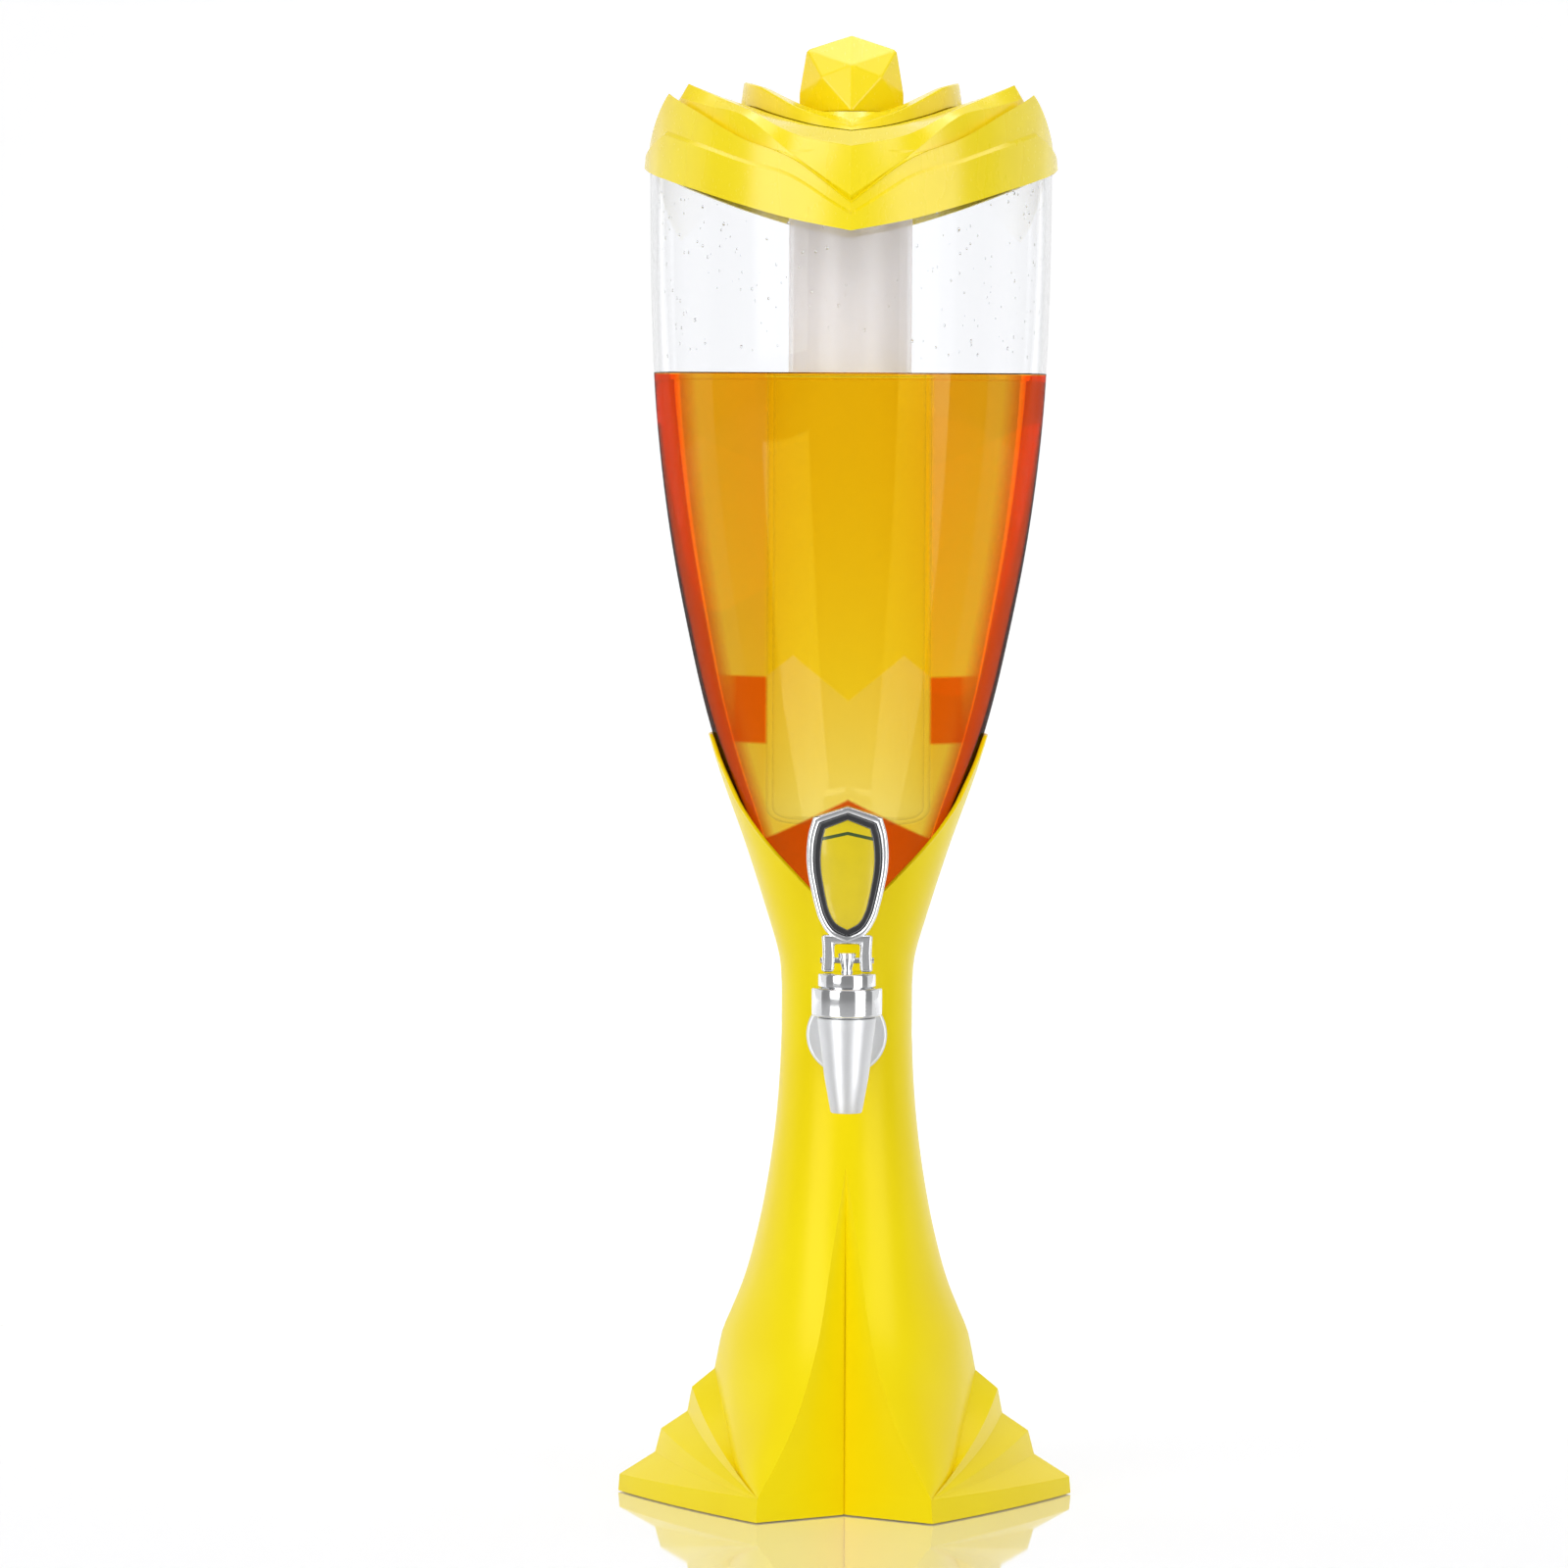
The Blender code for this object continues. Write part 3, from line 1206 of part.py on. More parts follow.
def build_valve():
    """Stem with its head and foot, soft seat cup, pin and return spring."""
    head_foot = PIVOT_Z - STEM_HEAD_HEIGHT / 2
    stem = [
        (0, STEM_HEAD_TOP_Z),
        (STEM_HEAD_RADIUS, STEM_HEAD_TOP_Z),
        (STEM_HEAD_FOOT, head_foot),
        (STEM_RADIUS, head_foot - STEM_NECK_RISE),
        (STEM_RADIUS, STEM_COLLAR_Z + STEM_COLLAR_HEIGHT),
        (STEM_FOOT_RADIUS, STEM_COLLAR_Z + STEM_COLLAR_HEIGHT),
        (STEM_FOOT_RADIUS, STEM_COLLAR_Z),
        (STEM_RADIUS, STEM_COLLAR_Z),
        (STEM_RADIUS, CUP_SEAL_Z - SEAT_GAP),
        (STEM_FOOT_RADIUS, CUP_SEAL_Z - SEAT_GAP),
        (STEM_FOOT_RADIUS, CUP_SEAL_Z - SEAT_GAP - STEM_FOOT_HEIGHT),
        (0, CUP_SEAL_Z - SEAT_GAP - STEM_FOOT_HEIGHT),
    ]
    valve = tap_turned("valve_stem", stem, steel())
    half = PIN_LENGTH / 2
    hole_half = STEM_HEAD_RADIUS + CUT_OVERRUN
    hole_radius = PIN_RADIUS + PIN_CLEARANCE
    left, right = (-hole_half, -TAP_DEPTH, PIVOT_Z), (hole_half, -TAP_DEPTH, PIVOT_Z)
    cut(valve, rod("stem_hole", hole_radius, left, right, count=TINY_STEPS))
    left, right = (-half, -TAP_DEPTH, PIVOT_Z), (half, -TAP_DEPTH, PIVOT_Z)
    rod("pivot_pin", PIN_RADIUS, left, right, chrome(), TINY_STEPS)
    cup_top = CUP_SEAL_Z + CUP_SEAL_HEIGHT
    inner = STEM_RADIUS + SEAT_GAP
    cup = [
        (inner, cup_top),
        (CUP_SEAL_RADIUS, cup_top),
        (CUP_SEAL_RADIUS, CUP_SEAL_Z),
        (inner, CUP_SEAL_Z),
    ]
    tap_turned("seat_cup", cup, soft_rubber(), closed=True)
    build_spring(cup_top + SEAT_GAP + SPRING_WIRE, BODY_TOP_Z - SPRING_WIRE)


def build_spring(low, high):
    """Return spring: a helix between the seat cup and the bonnet."""
    count = SPRING_CURLS * SPRING_POINTS
    curve = bpy.data.curves.new("return_spring", "CURVE")
    curve.dimensions = "3D"
    curve.bevel_depth = SPRING_WIRE
    curve.bevel_resolution = 1
    curve.use_fill_caps = True
    spline = curve.splines.new("POLY")
    spline.points.add(count)
    for i, point in enumerate(spline.points):
        angle = math.tau * i / SPRING_POINTS
        height = blend(low, high, i / count)
        point.co = (SPRING_RADIUS * math.cos(angle), SPRING_RADIUS * math.sin(angle), height, 1)
    spring = bpy.data.objects.new("return_spring", curve)
    collection("tabletop_beer_dispenser").objects.link(spring)
    curve.materials.append(steel())
    spring.location = (0, -TAP_DEPTH, 0)
    print("spring gap between curls, mm:", ((high - low) / SPRING_CURLS - 2 * SPRING_WIRE) / MM)


# Lever


def shield_outline(inset=0.0):
    """Shield's outline, drawn in all round by an inset."""
    wide = (SHIELD_HALF_WIDTH - inset) / SHIELD_HALF_WIDTH
    tall = (SHIELD_HEIGHT - 2 * inset) / SHIELD_HEIGHT
    right = []
    for side, rise in SHIELD_SHARES:
        height = SHIELD_BOTTOM_Z + inset + SHIELD_HEIGHT * rise * tall
        right.append((SHIELD_HALF_WIDTH * side * wide, height))
    return right + [(-x, z) for x, z in reversed(right[1:-1])]


def build_lever():
    """Fork on the stem's pin, and the shield with its bezel and plate."""
    near, far = TAP_DEPTH + FORK_DEPTH / 2, TAP_DEPTH - FORK_DEPTH / 2
    legs = [
        (FORK_OUTER, FORK_FOOT_Z),
        (FORK_OUTER, FORK_TOP_Z),
        (-FORK_OUTER, FORK_TOP_Z),
        (-FORK_OUTER, FORK_FOOT_Z),
        (-FORK_INNER, FORK_FOOT_Z),
        (-FORK_INNER, FORK_ROOF_Z),
        (FORK_INNER, FORK_ROOF_Z),
        (FORK_INNER, FORK_FOOT_Z),
    ]
    fork = flat_plate("lever_fork", legs, near, far, chrome())
    shield_near = TAP_DEPTH + SHIELD_THICKNESS / 2
    shield_far = TAP_DEPTH - SHIELD_THICKNESS / 2
    notch_near, notch_far = near + CUT_OVERRUN, shield_far - SEAT_GAP
    notch = flat_plate("shield_notch", shield_outline(-SEAT_GAP), notch_near, notch_far)
    cut(fork, notch)
    half = PIN_LENGTH / 2 + CUT_OVERRUN
    left, right = (-half, -TAP_DEPTH, PIVOT_Z), (half, -TAP_DEPTH, PIVOT_Z)
    cut(fork, rod("fork_hole", PIN_RADIUS + PIN_CLEARANCE, left, right, count=TINY_STEPS))
    shield = flat_plate("lever_shield", shield_outline(), shield_near, shield_far, chrome())
    rounded(shield, SHIELD_EDGE)
    floor = shield_near - SHIELD_RECESS
    recess = shield_outline(SHIELD_RIM)
    cut(shield, flat_plate("shield_recess", recess, shield_near + CUT_OVERRUN, floor))
    bezel_floor = floor + SEAT_GAP
    outline = shield_outline(SHIELD_RIM + SEAT_GAP)
    bezel = flat_plate("lever_bezel", outline, bezel_floor + BEZEL_DEPTH, bezel_floor, dark_plastic())
    window = shield_outline(SHIELD_RIM + SEAT_GAP + BEZEL_WIDTH)
    window_near = bezel_floor + BEZEL_DEPTH + CUT_OVERRUN
    cut(bezel, flat_plate("bezel_window", window, window_near, bezel_floor - CUT_OVERRUN))
    plate = shield_outline(SHIELD_RIM + 2 * SEAT_GAP + BEZEL_WIDTH)
    flat_plate("badge_plate", plate, bezel_floor + BADGE_DEPTH, bezel_floor, badge_yellow())


def dark_plastic():
    """Dark bezel of the lever."""
    return material("bezel_dark", (0.05, 0.05, 0.06), 0.25)


def badge_yellow():
    """Plain yellow plate of the lever."""
    return material("badge_yellow", (0.85, 0.68, 0.03), 0.3)


def hang_on_pivot():
    """Parent the lever's pieces to an empty on the lever's axis."""
    pivot = bpy.data.objects.new("lever_pivot", None)
    collection("tabletop_beer_dispenser").objects.link(pivot)
    pivot.location = (0, -TAP_DEPTH, PIVOT_Z)
    bpy.context.view_layer.update()
    for name in ("lever_fork", "lever_shield", "lever_bezel", "badge_plate"):
        piece = bpy.data.objects[name]
        piece.parent = pivot
        piece.matrix_parent_inverse = pivot.matrix_world.inverted()


def main():
    """Build the dispenser."""
    reset_scene()
    build_canister()
    build_canister_seat()
    build_stand()
    build_base()
    build_lid()
    build_ice_tube()
    build_collar()
    build_knob()
    build_shank()
    build_body()
    build_bonnet()
    build_valve()
    build_lever()
    hang_on_pivot()


main()
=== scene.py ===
"""Dressed model of a tabletop beer dispenser: moulded stand, canister of beer, lid and tap."""
import logging
import math
from dataclasses import dataclass
from enum import Enum
from typing import Callable, Optional, Sequence, Union

import bmesh
import bpy
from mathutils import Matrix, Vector


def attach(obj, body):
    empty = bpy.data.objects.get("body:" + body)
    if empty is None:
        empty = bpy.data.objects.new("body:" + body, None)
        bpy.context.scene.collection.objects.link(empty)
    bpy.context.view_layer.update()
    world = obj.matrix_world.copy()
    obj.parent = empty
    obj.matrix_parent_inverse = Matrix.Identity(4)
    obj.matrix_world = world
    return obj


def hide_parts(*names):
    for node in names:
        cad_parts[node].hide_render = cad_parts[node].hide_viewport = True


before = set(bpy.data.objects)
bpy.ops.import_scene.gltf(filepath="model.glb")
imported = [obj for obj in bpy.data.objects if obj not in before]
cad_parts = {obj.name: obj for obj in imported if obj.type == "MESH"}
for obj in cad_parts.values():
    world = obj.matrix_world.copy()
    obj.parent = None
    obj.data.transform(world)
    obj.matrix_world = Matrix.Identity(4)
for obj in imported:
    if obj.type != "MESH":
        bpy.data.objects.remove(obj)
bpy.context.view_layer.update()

LOG = logging.getLogger("dispenser")
MM = 0.001
Point = tuple[float, float, float]
Course = Callable[[float], float]
Rings = list[list[Point]]
Shares = Sequence[Sequence[float]]


class Body(Enum):
    """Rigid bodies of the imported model."""

    ROOT = "root"
    LID = "lid"
    ICE_TUBE = "ice_tube"
    COLLAR = "ice_collar"
    STEM = "valve_stem"
    LEVER = "lever"


class Slot(Enum):
    """Material slots of the record."""

    YELLOW = "yellow_plastic"
    CLEAR = "clear_plastic"
    CHROME = "chrome"
    STEEL = "steel"
    RUBBER = "rubber"
    BEZEL = "bezel"
    BADGE = "badge"


# Shader graph


class Wire:
    """Output socket of a shader node, usable in sums."""

    def __init__(self, graph: "Graph", socket: bpy.types.NodeSocket) -> None:
        """Wraps an output socket of a graph."""
        self.graph = graph
        self.socket = socket

    def sum(self, operation: str, *values: "Value") -> "Wire":
        """Result of a Math node that takes the values in order."""
        return self.graph.node("Math", {"operation": operation}, dict(enumerate(values)))

    def __add__(self, other: "Value") -> "Wire":
        """Sum."""
        return self.sum("ADD", self, other)

    __radd__ = __add__

    def __sub__(self, other: "Value") -> "Wire":
        """Difference."""
        return self.sum("SUBTRACT", self, other)

    def __rsub__(self, other: "Value") -> "Wire":
        """Difference from a value on the left."""
        return self.sum("SUBTRACT", other, self)

    def __mul__(self, other: "Value") -> "Wire":
        """Product."""
        return self.sum("MULTIPLY", self, other)

    __rmul__ = __mul__

    def __truediv__(self, other: "Value") -> "Wire":
        """Quotient."""
        return self.sum("DIVIDE", self, other)

    def __pow__(self, other: "Value") -> "Wire":
        """Power."""
        return self.sum("POWER", self, other)

    def over(self, edge: float) -> "Wire":
        """1 where the value is over an edge, 0 elsewhere."""
        return self.sum("GREATER_THAN", self, edge)

    def under(self, edge: float) -> "Wire":
        """1 where the value is under an edge, 0 elsewhere."""
        return self.sum("LESS_THAN", self, edge)

    def size(self) -> "Wire":
        """Value without its sign."""
        return self.sum("ABSOLUTE", self)


Value = Union[Wire, float, Sequence[float]]


class Graph:
    """Node graph of one finish."""

    def __init__(self, name: str) -> None:
        """Makes a material with an empty graph.

        Args:
            name: Name of the material.
        """
        self.material = bpy.data.materials.new(name)
        self.material.use_nodes = True
        self.tree = self.material.node_tree
        self.tree.nodes.clear()
        self.output = self.tree.nodes.new("ShaderNodeOutputMaterial")

    def node(self, kind: str, settings: Optional[dict] = None,
             values: Optional[dict] = None, out: Union[int, str] = 0) -> Wire:
        """Adds a node.

        Args:
            kind: Node type without its ShaderNode prefix.
            settings: Attributes that are set first; "stops" fills a colour ramp.
            values: Input values or links by socket name or number.
            out: Output socket to return.

        Returns:
            The output socket.
        """
        made = self.tree.nodes.new("ShaderNode" + kind)
        for key, setting in (settings or {}).items():
            if key == "stops":
                self.fill_ramp(made.color_ramp, setting)
            else:
                setattr(made, key, setting)
        for key, value in (values or {}).items():
            if isinstance(value, Wire):
                self.tree.links.new(value.socket, made.inputs[key])
            else:
                made.inputs[key].default_value = value
        return Wire(self, made.outputs[out])

    @staticmethod
    def fill_ramp(ramp: bpy.types.ColorRamp, stops: Sequence[tuple]) -> None:
        """Sets the stops of a colour ramp.

        Args:
            ramp: Ramp to fill.
            stops: Position and colour or grey level of each stop.
        """
        while len(ramp.elements) < len(stops):
            ramp.elements.new(1.0)
        for element, (position, colour) in zip(ramp.elements, stops):
            element.position = position
            element.color = (colour,) * 3 + (1,) if isinstance(colour, float) else (*colour, 1)

    def place(self) -> Wire:
        """Object coordinates."""
        return self.node("TexCoord", out="Object")

    def axis(self, name: str) -> Wire:
        """One of the object coordinates, X, Y or Z."""
        return self.node("SeparateXYZ", values={0: self.place()}, out=name)

    def noise(self, scale: float, detail: float = 3.0, stretch: Point = (1, 1, 1),
              rough: float = 0.5) -> Wire:
        """Noise on object coordinates.

        Args:
            scale: Features per metre.
            detail: Octaves.
            stretch: Scale of the coordinates along each axis.
            rough: Strength of the finer octaves.

        Returns:
            Noise value from 0 to 1.
        """
        spot = self.node("Mapping", values={"Vector": self.place(), "Scale": stretch})
        values = {"Vector": spot, "Scale": scale, "Detail": detail, "Roughness": rough}
        return self.node("TexNoise", values=values)

    def ramp(self, value: Wire, *stops: tuple) -> Wire:
        """Colour ramp of a value."""
        return self.node("ValToRGB", {"stops": stops}, {0: value})

    def mix(self, share: Value, first: Value, second: Value) -> Wire:
        """Mix of two colours, by the share of the second."""
        ends = [(*end, 1) if isinstance(end, tuple) else end for end in (first, second)]
        return self.node("Mix", {"data_type": "RGBA"}, {0: share, 6: ends[0], 7: ends[1]}, 2)

    def choice(self, share: Value, first: Wire, second: Wire) -> Wire:
        """Mix of two shaders, by the share of the second."""
        return self.node("MixShader", values={0: share, 1: first, 2: second})

    def bump(self, height: Wire, depth: float, strength: float = 1.0) -> Wire:
        """Normal from a height from 0 to 1, with the depth of a full step in metres."""
        return self.node("Bump", values={"Height": height, "Distance": depth, "Strength": strength})

    def surface(self, **sockets: Value) -> Wire:
        """Principled shader with sockets named by words joined with underscores.

        Args:
            sockets: Value or link of each socket.

        Returns:
            Surface shader.
        """
        values = {}
        for key, value in sockets.items():
            if isinstance(value, tuple):
                value = (*value, 1)
            values[key.replace("_", " ").title().replace("Ior", "IOR")] = value
        return self.node("BsdfPrincipled", values=values)

    def lit_through(self, surface: Wire, tone: Point) -> Wire:
        """Surface that lets the lights shine through it.

        Args:
            surface: Surface shader.
            tone: Colour that it gives to the light.

        Returns:
            Mixed shader.
        """
        shadow = self.node("LightPath", out="Is Shadow Ray")
        open_way = self.node("BsdfTransparent", values={"Color": (*tone, 1)})
        return self.choice(shadow, surface, open_way)

    def finish(self, surface: Wire, volume: Optional[Wire] = None) -> bpy.types.Material:
        """Links the output.

        Args:
            surface: Surface shader.
            volume: Volume shader.

        Returns:
            The material.
        """
        self.tree.links.new(surface.socket, self.output.inputs["Surface"])
        if volume:
            self.tree.links.new(volume.socket, self.output.inputs["Volume"])
        return self.material


# Finishes


def darker(colour: Point, share: float) -> Point:
    """Colour with each part lowered to a share."""
    return tuple(part * share for part in colour)


@dataclass(frozen=True)
class Finish:
    """Finish that is built once and shared."""

    name: str

    def material(self) -> bpy.types.Material:
        """Material of this finish, built when it is first asked for."""
        known = bpy.data.materials.get(self.name)
        return known or self.build(Graph(self.name))

    def build(self, graph: Graph) -> bpy.types.Material:
        """Builds the shader in a graph."""
        raise NotImplementedError


@dataclass(frozen=True)
class MouldedPlastic(Finish):
    """Glossy moulded plastic with soft colour drift, a faint orange peel and fine scuffs."""

    colour: Point = (0.95, 0.77, 0.001)
    deep: Point = (0.91, 0.70, 0.001)
    roughness: float = 0.13
    coat: float = 0.4
    sheen: Point = (1.0, 1.0, 1.0)
    peel: float = 0.00004
    smear: float = 0.07
    scuff: float = 0.05
    coat_roughness: float = 0.22
    index: float = 1.5

    def build(self, graph: Graph) -> bpy.types.Material:
        """Builds the shader in a graph.

        Args:
            graph: Empty graph of this finish.

        Returns:
            The finished material.
        """
        drift = graph.ramp(graph.noise(14, 2), (0.35, 0.0), (0.75, 1.0))
        colour = graph.mix(drift, self.colour, self.deep)
        smear = graph.ramp(graph.noise(60, 5, (1, 1, 0.3)), (0.45, 0.0), (0.8, 1.0))
        scuff = graph.ramp(graph.noise(900, 2, (1, 0.12, 0.5)), (0.62, 0.0), (0.72, 1.0))
        rough = self.roughness + smear * self.smear + scuff * self.scuff
        peel = graph.bump(graph.noise(420, 2), self.peel, 0.5)
        surface = graph.surface(base_color=colour, roughness=rough, normal=peel,
                                coat_weight=self.coat, coat_roughness=self.coat_roughness,
                                ior=self.index, specular_tint=self.sheen)
        return graph.finish(surface)


@dataclass(frozen=True)
class ClearWall(Finish):
    """Clear plastic wall that refracts, with faint handling marks, and hardly reflects where wetted."""

    colour: Point = (0.965, 0.97, 0.98)
    mirror: Point = (0.15, 0.15, 0.15)
    shadow: Point = (0.97, 0.97, 0.97)
    index: float = 1.47
    marks: float = 0.02
    ripple: float = 0.0004
    beer_z: float = 0.4387
    wet_share: float = 0.88

    def build(self, graph: Graph) -> bpy.types.Material:
        """Builds the shader in a graph.

        Args:
            graph: Empty graph of this finish.

        Returns:
            The finished material.
        """
        marks = graph.ramp(graph.noise(35, 4, (1, 1, 0.4)), (0.55, 0.0), (0.85, 1.0))
        ripple = graph.bump(graph.noise(18, 1, (1, 1, 0.15)), self.ripple, 0.05)
        dry = graph.surface(base_color=self.colour, roughness=marks * self.marks,
                            transmission_weight=1.0, ior=self.index, normal=ripple,
                            specular_tint=self.mirror)
        clear = {"Color": (1, 1, 1, 1), "Roughness": 0.0, "IOR": self.index}
        entering = graph.node("BsdfRefraction", values=clear)
        leaving = graph.node("BsdfGlass", values=clear)
        wet = graph.choice(graph.node("NewGeometry", out="Backfacing"), entering, leaving)
        share = graph.axis("Z").under(self.beer_z) * self.wet_share
        return graph.finish(graph.lit_through(graph.choice(share, dry, wet), self.shadow))


@dataclass(frozen=True)
class Beer(Finish):
    """Golden beer: refracts at its outside, and passes straight into the ice tube's column.

    Its front carries painted refraction of the stand's cup seen through it: richer yellow before the
    column, painted shade in dark orange beside the tube's foot and deep painted shade over the cup's notch.
    """

    core: float = 0.0252
    core_bottom: float = 0.2665
    index: float = 1.34
    density: float = 47.0
    tint: Point = (0.955, 0.83, 0.05)
    middle: Point = (1.0, 0.975, 0.75)
    rim: Point = (0.88, 0.135, 0.02)
    rim_stops: Shares = ((0.165, 0.0), (0.225, 1.0))
    skin: Point = (0.98, 0.72, 0.3)
    skin_z: float = 0.4383
    # painted refraction: richer yellow in front of the column, above the back petals' outline as seen
    # through the beer
    painted_front_refraction: Point = (1.0, 0.96, 0.25)
    painted_front_refraction_side: float = 0.031
    peak_side: float = 0.021
    peak_z: float = 0.331
    peak_slope: float = 0.83
    # painted shade: dark orange patch beside the tube's foot, standing in for the stand's cup seen through
    # the beer in shade
    painted_petal_shade: Point = (0.92, 0.25, 0.12)
    painted_petal_shade_low: float = 0.2965
    painted_petal_shade_high: float = 0.3225
    painted_petal_shade_side: float = 0.047
    # painted shade: deep orange over the cup's notch, below a V line on the front
    deep: Point = (0.72, 0.14, 0.05)
    painted_notch_shade_z: float = 0.275
    painted_notch_shade_slope: float = 0.52
    soft: float = 0.0012

    def past(self, graph: Graph, value: Wire, soften: float = 1.0) -> Wire:
        """Share from 0 where a length is under zero to 1 where it is over, with a soft edge."""
        return graph.ramp(value * (1 / (self.soft * soften)) + 0.5, (0.0, 0.0), (1.0, 1.0))

    def painted_refractions(self, graph: Graph) -> tuple[Wire, Wire, Wire]:
        """Where the front carries its painted refraction: richer yellow, and painted shade in dark orange
        and deep orange.

        Args:
            graph: Graph of this finish.

        Returns:
            Share of each from 0 to 1.
        """
        side, height = graph.axis("X").size(), graph.axis("Z")
        front = graph.axis("Y").under(0.0)
        # painted refraction: the back petals' W outline, with the richer yellow over it, inside the
        # column's width, on the front only
        peaks = (side - self.peak_side).size() * -self.peak_slope + self.peak_z
        inside = self.past(graph, side * -1.0 + self.painted_front_refraction_side, 2.0)
        painted_front_refraction = self.past(graph, height - peaks) * inside * front
        # painted shade: band beside the tube's foot, outside the column's width, fading out towards the
        # side, on the front only
        beside = self.past(graph, height - self.painted_petal_shade_low)
        beside = beside * self.past(graph, height * -1.0 + self.painted_petal_shade_high)
        beside = beside * self.past(graph, side * -1.0 + self.painted_petal_shade_side, 8.0)
        painted_petal_shade = beside * self.past(graph, side - self.painted_front_refraction_side) * front
        # painted shade: share below the V line over the cup's notch, on the front only
        low = self.past(graph, side * -self.painted_notch_shade_slope + self.painted_notch_shade_z - height) * front
        return painted_front_refraction, painted_petal_shade, low

    def build(self, graph: Graph) -> bpy.types.Material:
        """Builds the shader in a graph.

        Args:
            graph: Empty graph of this finish.

        Returns:
            The finished material.
        """
        wide = graph.axis("X") ** 2 + graph.axis("Y") ** 2
        column = wide.under(self.core ** 2) * graph.axis("Z").over(self.core_bottom)
        facing = graph.node("LayerWeight", values={"Blend": 0.5}, out="Facing")
        edge = graph.ramp(facing, *self.rim_stops)
        tones = (self.middle, self.rim, self.painted_front_refraction, self.painted_petal_shade, self.deep)
        inner, rim, *others = (graph.node("BsdfRefraction", values={
            "Color": (*tone, 1), "Roughness": 0.0, "IOR": self.index}) for tone in tones)
        # mixes the painted refraction into the front: richer yellow before the column, painted shade beside
        # the tube's foot and over the cup's notch
        for share, shader in zip(self.painted_refractions(graph), others):
            inner = graph.choice(share, inner, shader)
        skin = graph.surface(base_color=self.skin, roughness=0.0, transmission_weight=1.0,
                             ior=self.index)
        near_top = graph.axis("Z").over(self.skin_z)
        whole = graph.choice(near_top, graph.choice(edge, inner, rim), skin)
        liquid = graph.lit_through(whole, self.middle)
        surface = graph.choice(column, liquid, graph.node("BsdfTransparent"))
        body = graph.node("VolumeAbsorption",
                          values={"Color": (*self.tint, 1), "Density": self.density})
        return graph.finish(surface, body)


@dataclass(frozen=True)
class FrostedWall(Finish):
    """Thin clear wall dulled by cold: partly see-through with a milky bloom."""

    colour: Point = (0.90, 0.865, 0.87)
    roughness: float = 0.24
    bloom: float = 0.12
    clear_share: float = 0.68
    edge_share: float = 0.3
    edge_stops: Shares = ((0.72, 0.0), (0.95, 1.0))
    wet_clear_share: float = 0.975
    beer_z: float = 0.4387

    def build(self, graph: Graph) -> bpy.types.Material:
        """Builds the shader in a graph.

        Args:
            graph: Empty graph of this finish.

        Returns:
            The finished material.
        """
        bloom = graph.ramp(graph.noise(34, 3, (1, 1, 0.12)), (0.25, 0.0), (0.85, 1.0))
        grain = graph.bump(graph.noise(900, 3), 0.0001, 0.3)
        frost = graph.surface(base_color=self.colour, roughness=self.roughness, normal=grain,
                              specular_ior_level=0.6)
        dry = graph.axis("Z").over(self.beer_z)
        facing = graph.node("LayerWeight", values={"Blend": 0.5}, out="Facing")
        edge = graph.ramp(facing, *self.edge_stops) * self.edge_share
        share = (1 - self.wet_clear_share) + edge
        share = share + dry * (self.wet_clear_share - self.clear_share + bloom * self.bloom)
        return graph.finish(graph.choice(share, graph.node("BsdfTransparent"), frost))


@dataclass(frozen=True)
class Water(Finish):
    """Clear water, as small droplets."""

    index: float = 1.33

    def build(self, graph: Graph) -> bpy.types.Material:
        """Builds the shader in a graph.

        Args:
            graph: Empty graph of this finish.

        Returns:
            The finished material.
        """
        shade = graph.ramp(graph.noise(500, 1), (0.3, (0.93, 0.95, 0.96)), (0.7, (1.0, 1.0, 1.0)))
        return graph.finish(graph.surface(base_color=shade, roughness=0.0,
                                          transmission_weight=1.0, ior=self.index))


@dataclass(frozen=True)
class PlatedMetal(Finish):
    """Chrome plating, bright or satin, with fine polishing lines."""

    colour: Point = (0.86, 0.87, 0.885)
    roughness: float = 0.09
    lines: Point = (1, 1, 14)
    polish: float = 0.03
    haze: float = 0.04

    def build(self, graph: Graph) -> bpy.types.Material:
        """Builds the shader in a graph.

        Args:
            graph: Empty graph of this finish.

        Returns:
            The finished material.
        """
        polish = graph.noise(260, 3, self.lines)
        haze = graph.ramp(graph.noise(70, 4), (0.4, 0.0), (0.8, 1.0))
        rough = self.roughness + polish * self.polish + haze * self.haze
        colour = graph.mix(haze * 0.6, self.colour, darker(self.colour, 0.92))
        return graph.finish(graph.surface(base_color=colour, metallic=1.0, roughness=rough,
                                          normal=graph.bump(polish, 0.00001, 0.2)))


@dataclass(frozen=True)
class PlainSteel(Finish):
    """Bare steel with turning marks."""

    colour: Point = (0.55, 0.55, 0.56)

    def build(self, graph: Graph) -> bpy.types.Material:
        """Builds the shader in a graph.

        Args:
            graph: Empty graph of this finish.

        Returns:
            The finished material.
        """
        marks = graph.noise(300, 3, (1, 1, 8))
        colour = graph.mix(marks, self.colour, darker(self.colour, 0.8))
        return graph.finish(graph.surface(base_color=colour, metallic=1.0,
                                          roughness=0.2 + marks * 0.2,
                                          normal=graph.bump(marks, 0.00003, 0.4)))


@dataclass(frozen=True)
class SoftRubber(Finish):
    """Soft matt rubber with a fine bloom."""

    colour: Point = (0.56, 0.56, 0.54)

    def build(self, graph: Graph) -> bpy.types.Material:
        """Builds the shader in a graph.

        Args:
            graph: Empty graph of this finish.

        Returns:
            The finished material.
        """
        bloom = graph.noise(160, 5)
        colour = graph.mix(bloom, self.colour, darker(self.colour, 0.82))
        return graph.finish(graph.surface(base_color=colour, roughness=0.5 + bloom * 0.25,
                                          normal=graph.bump(graph.noise(1400, 2), 0.00005, 0.6)))


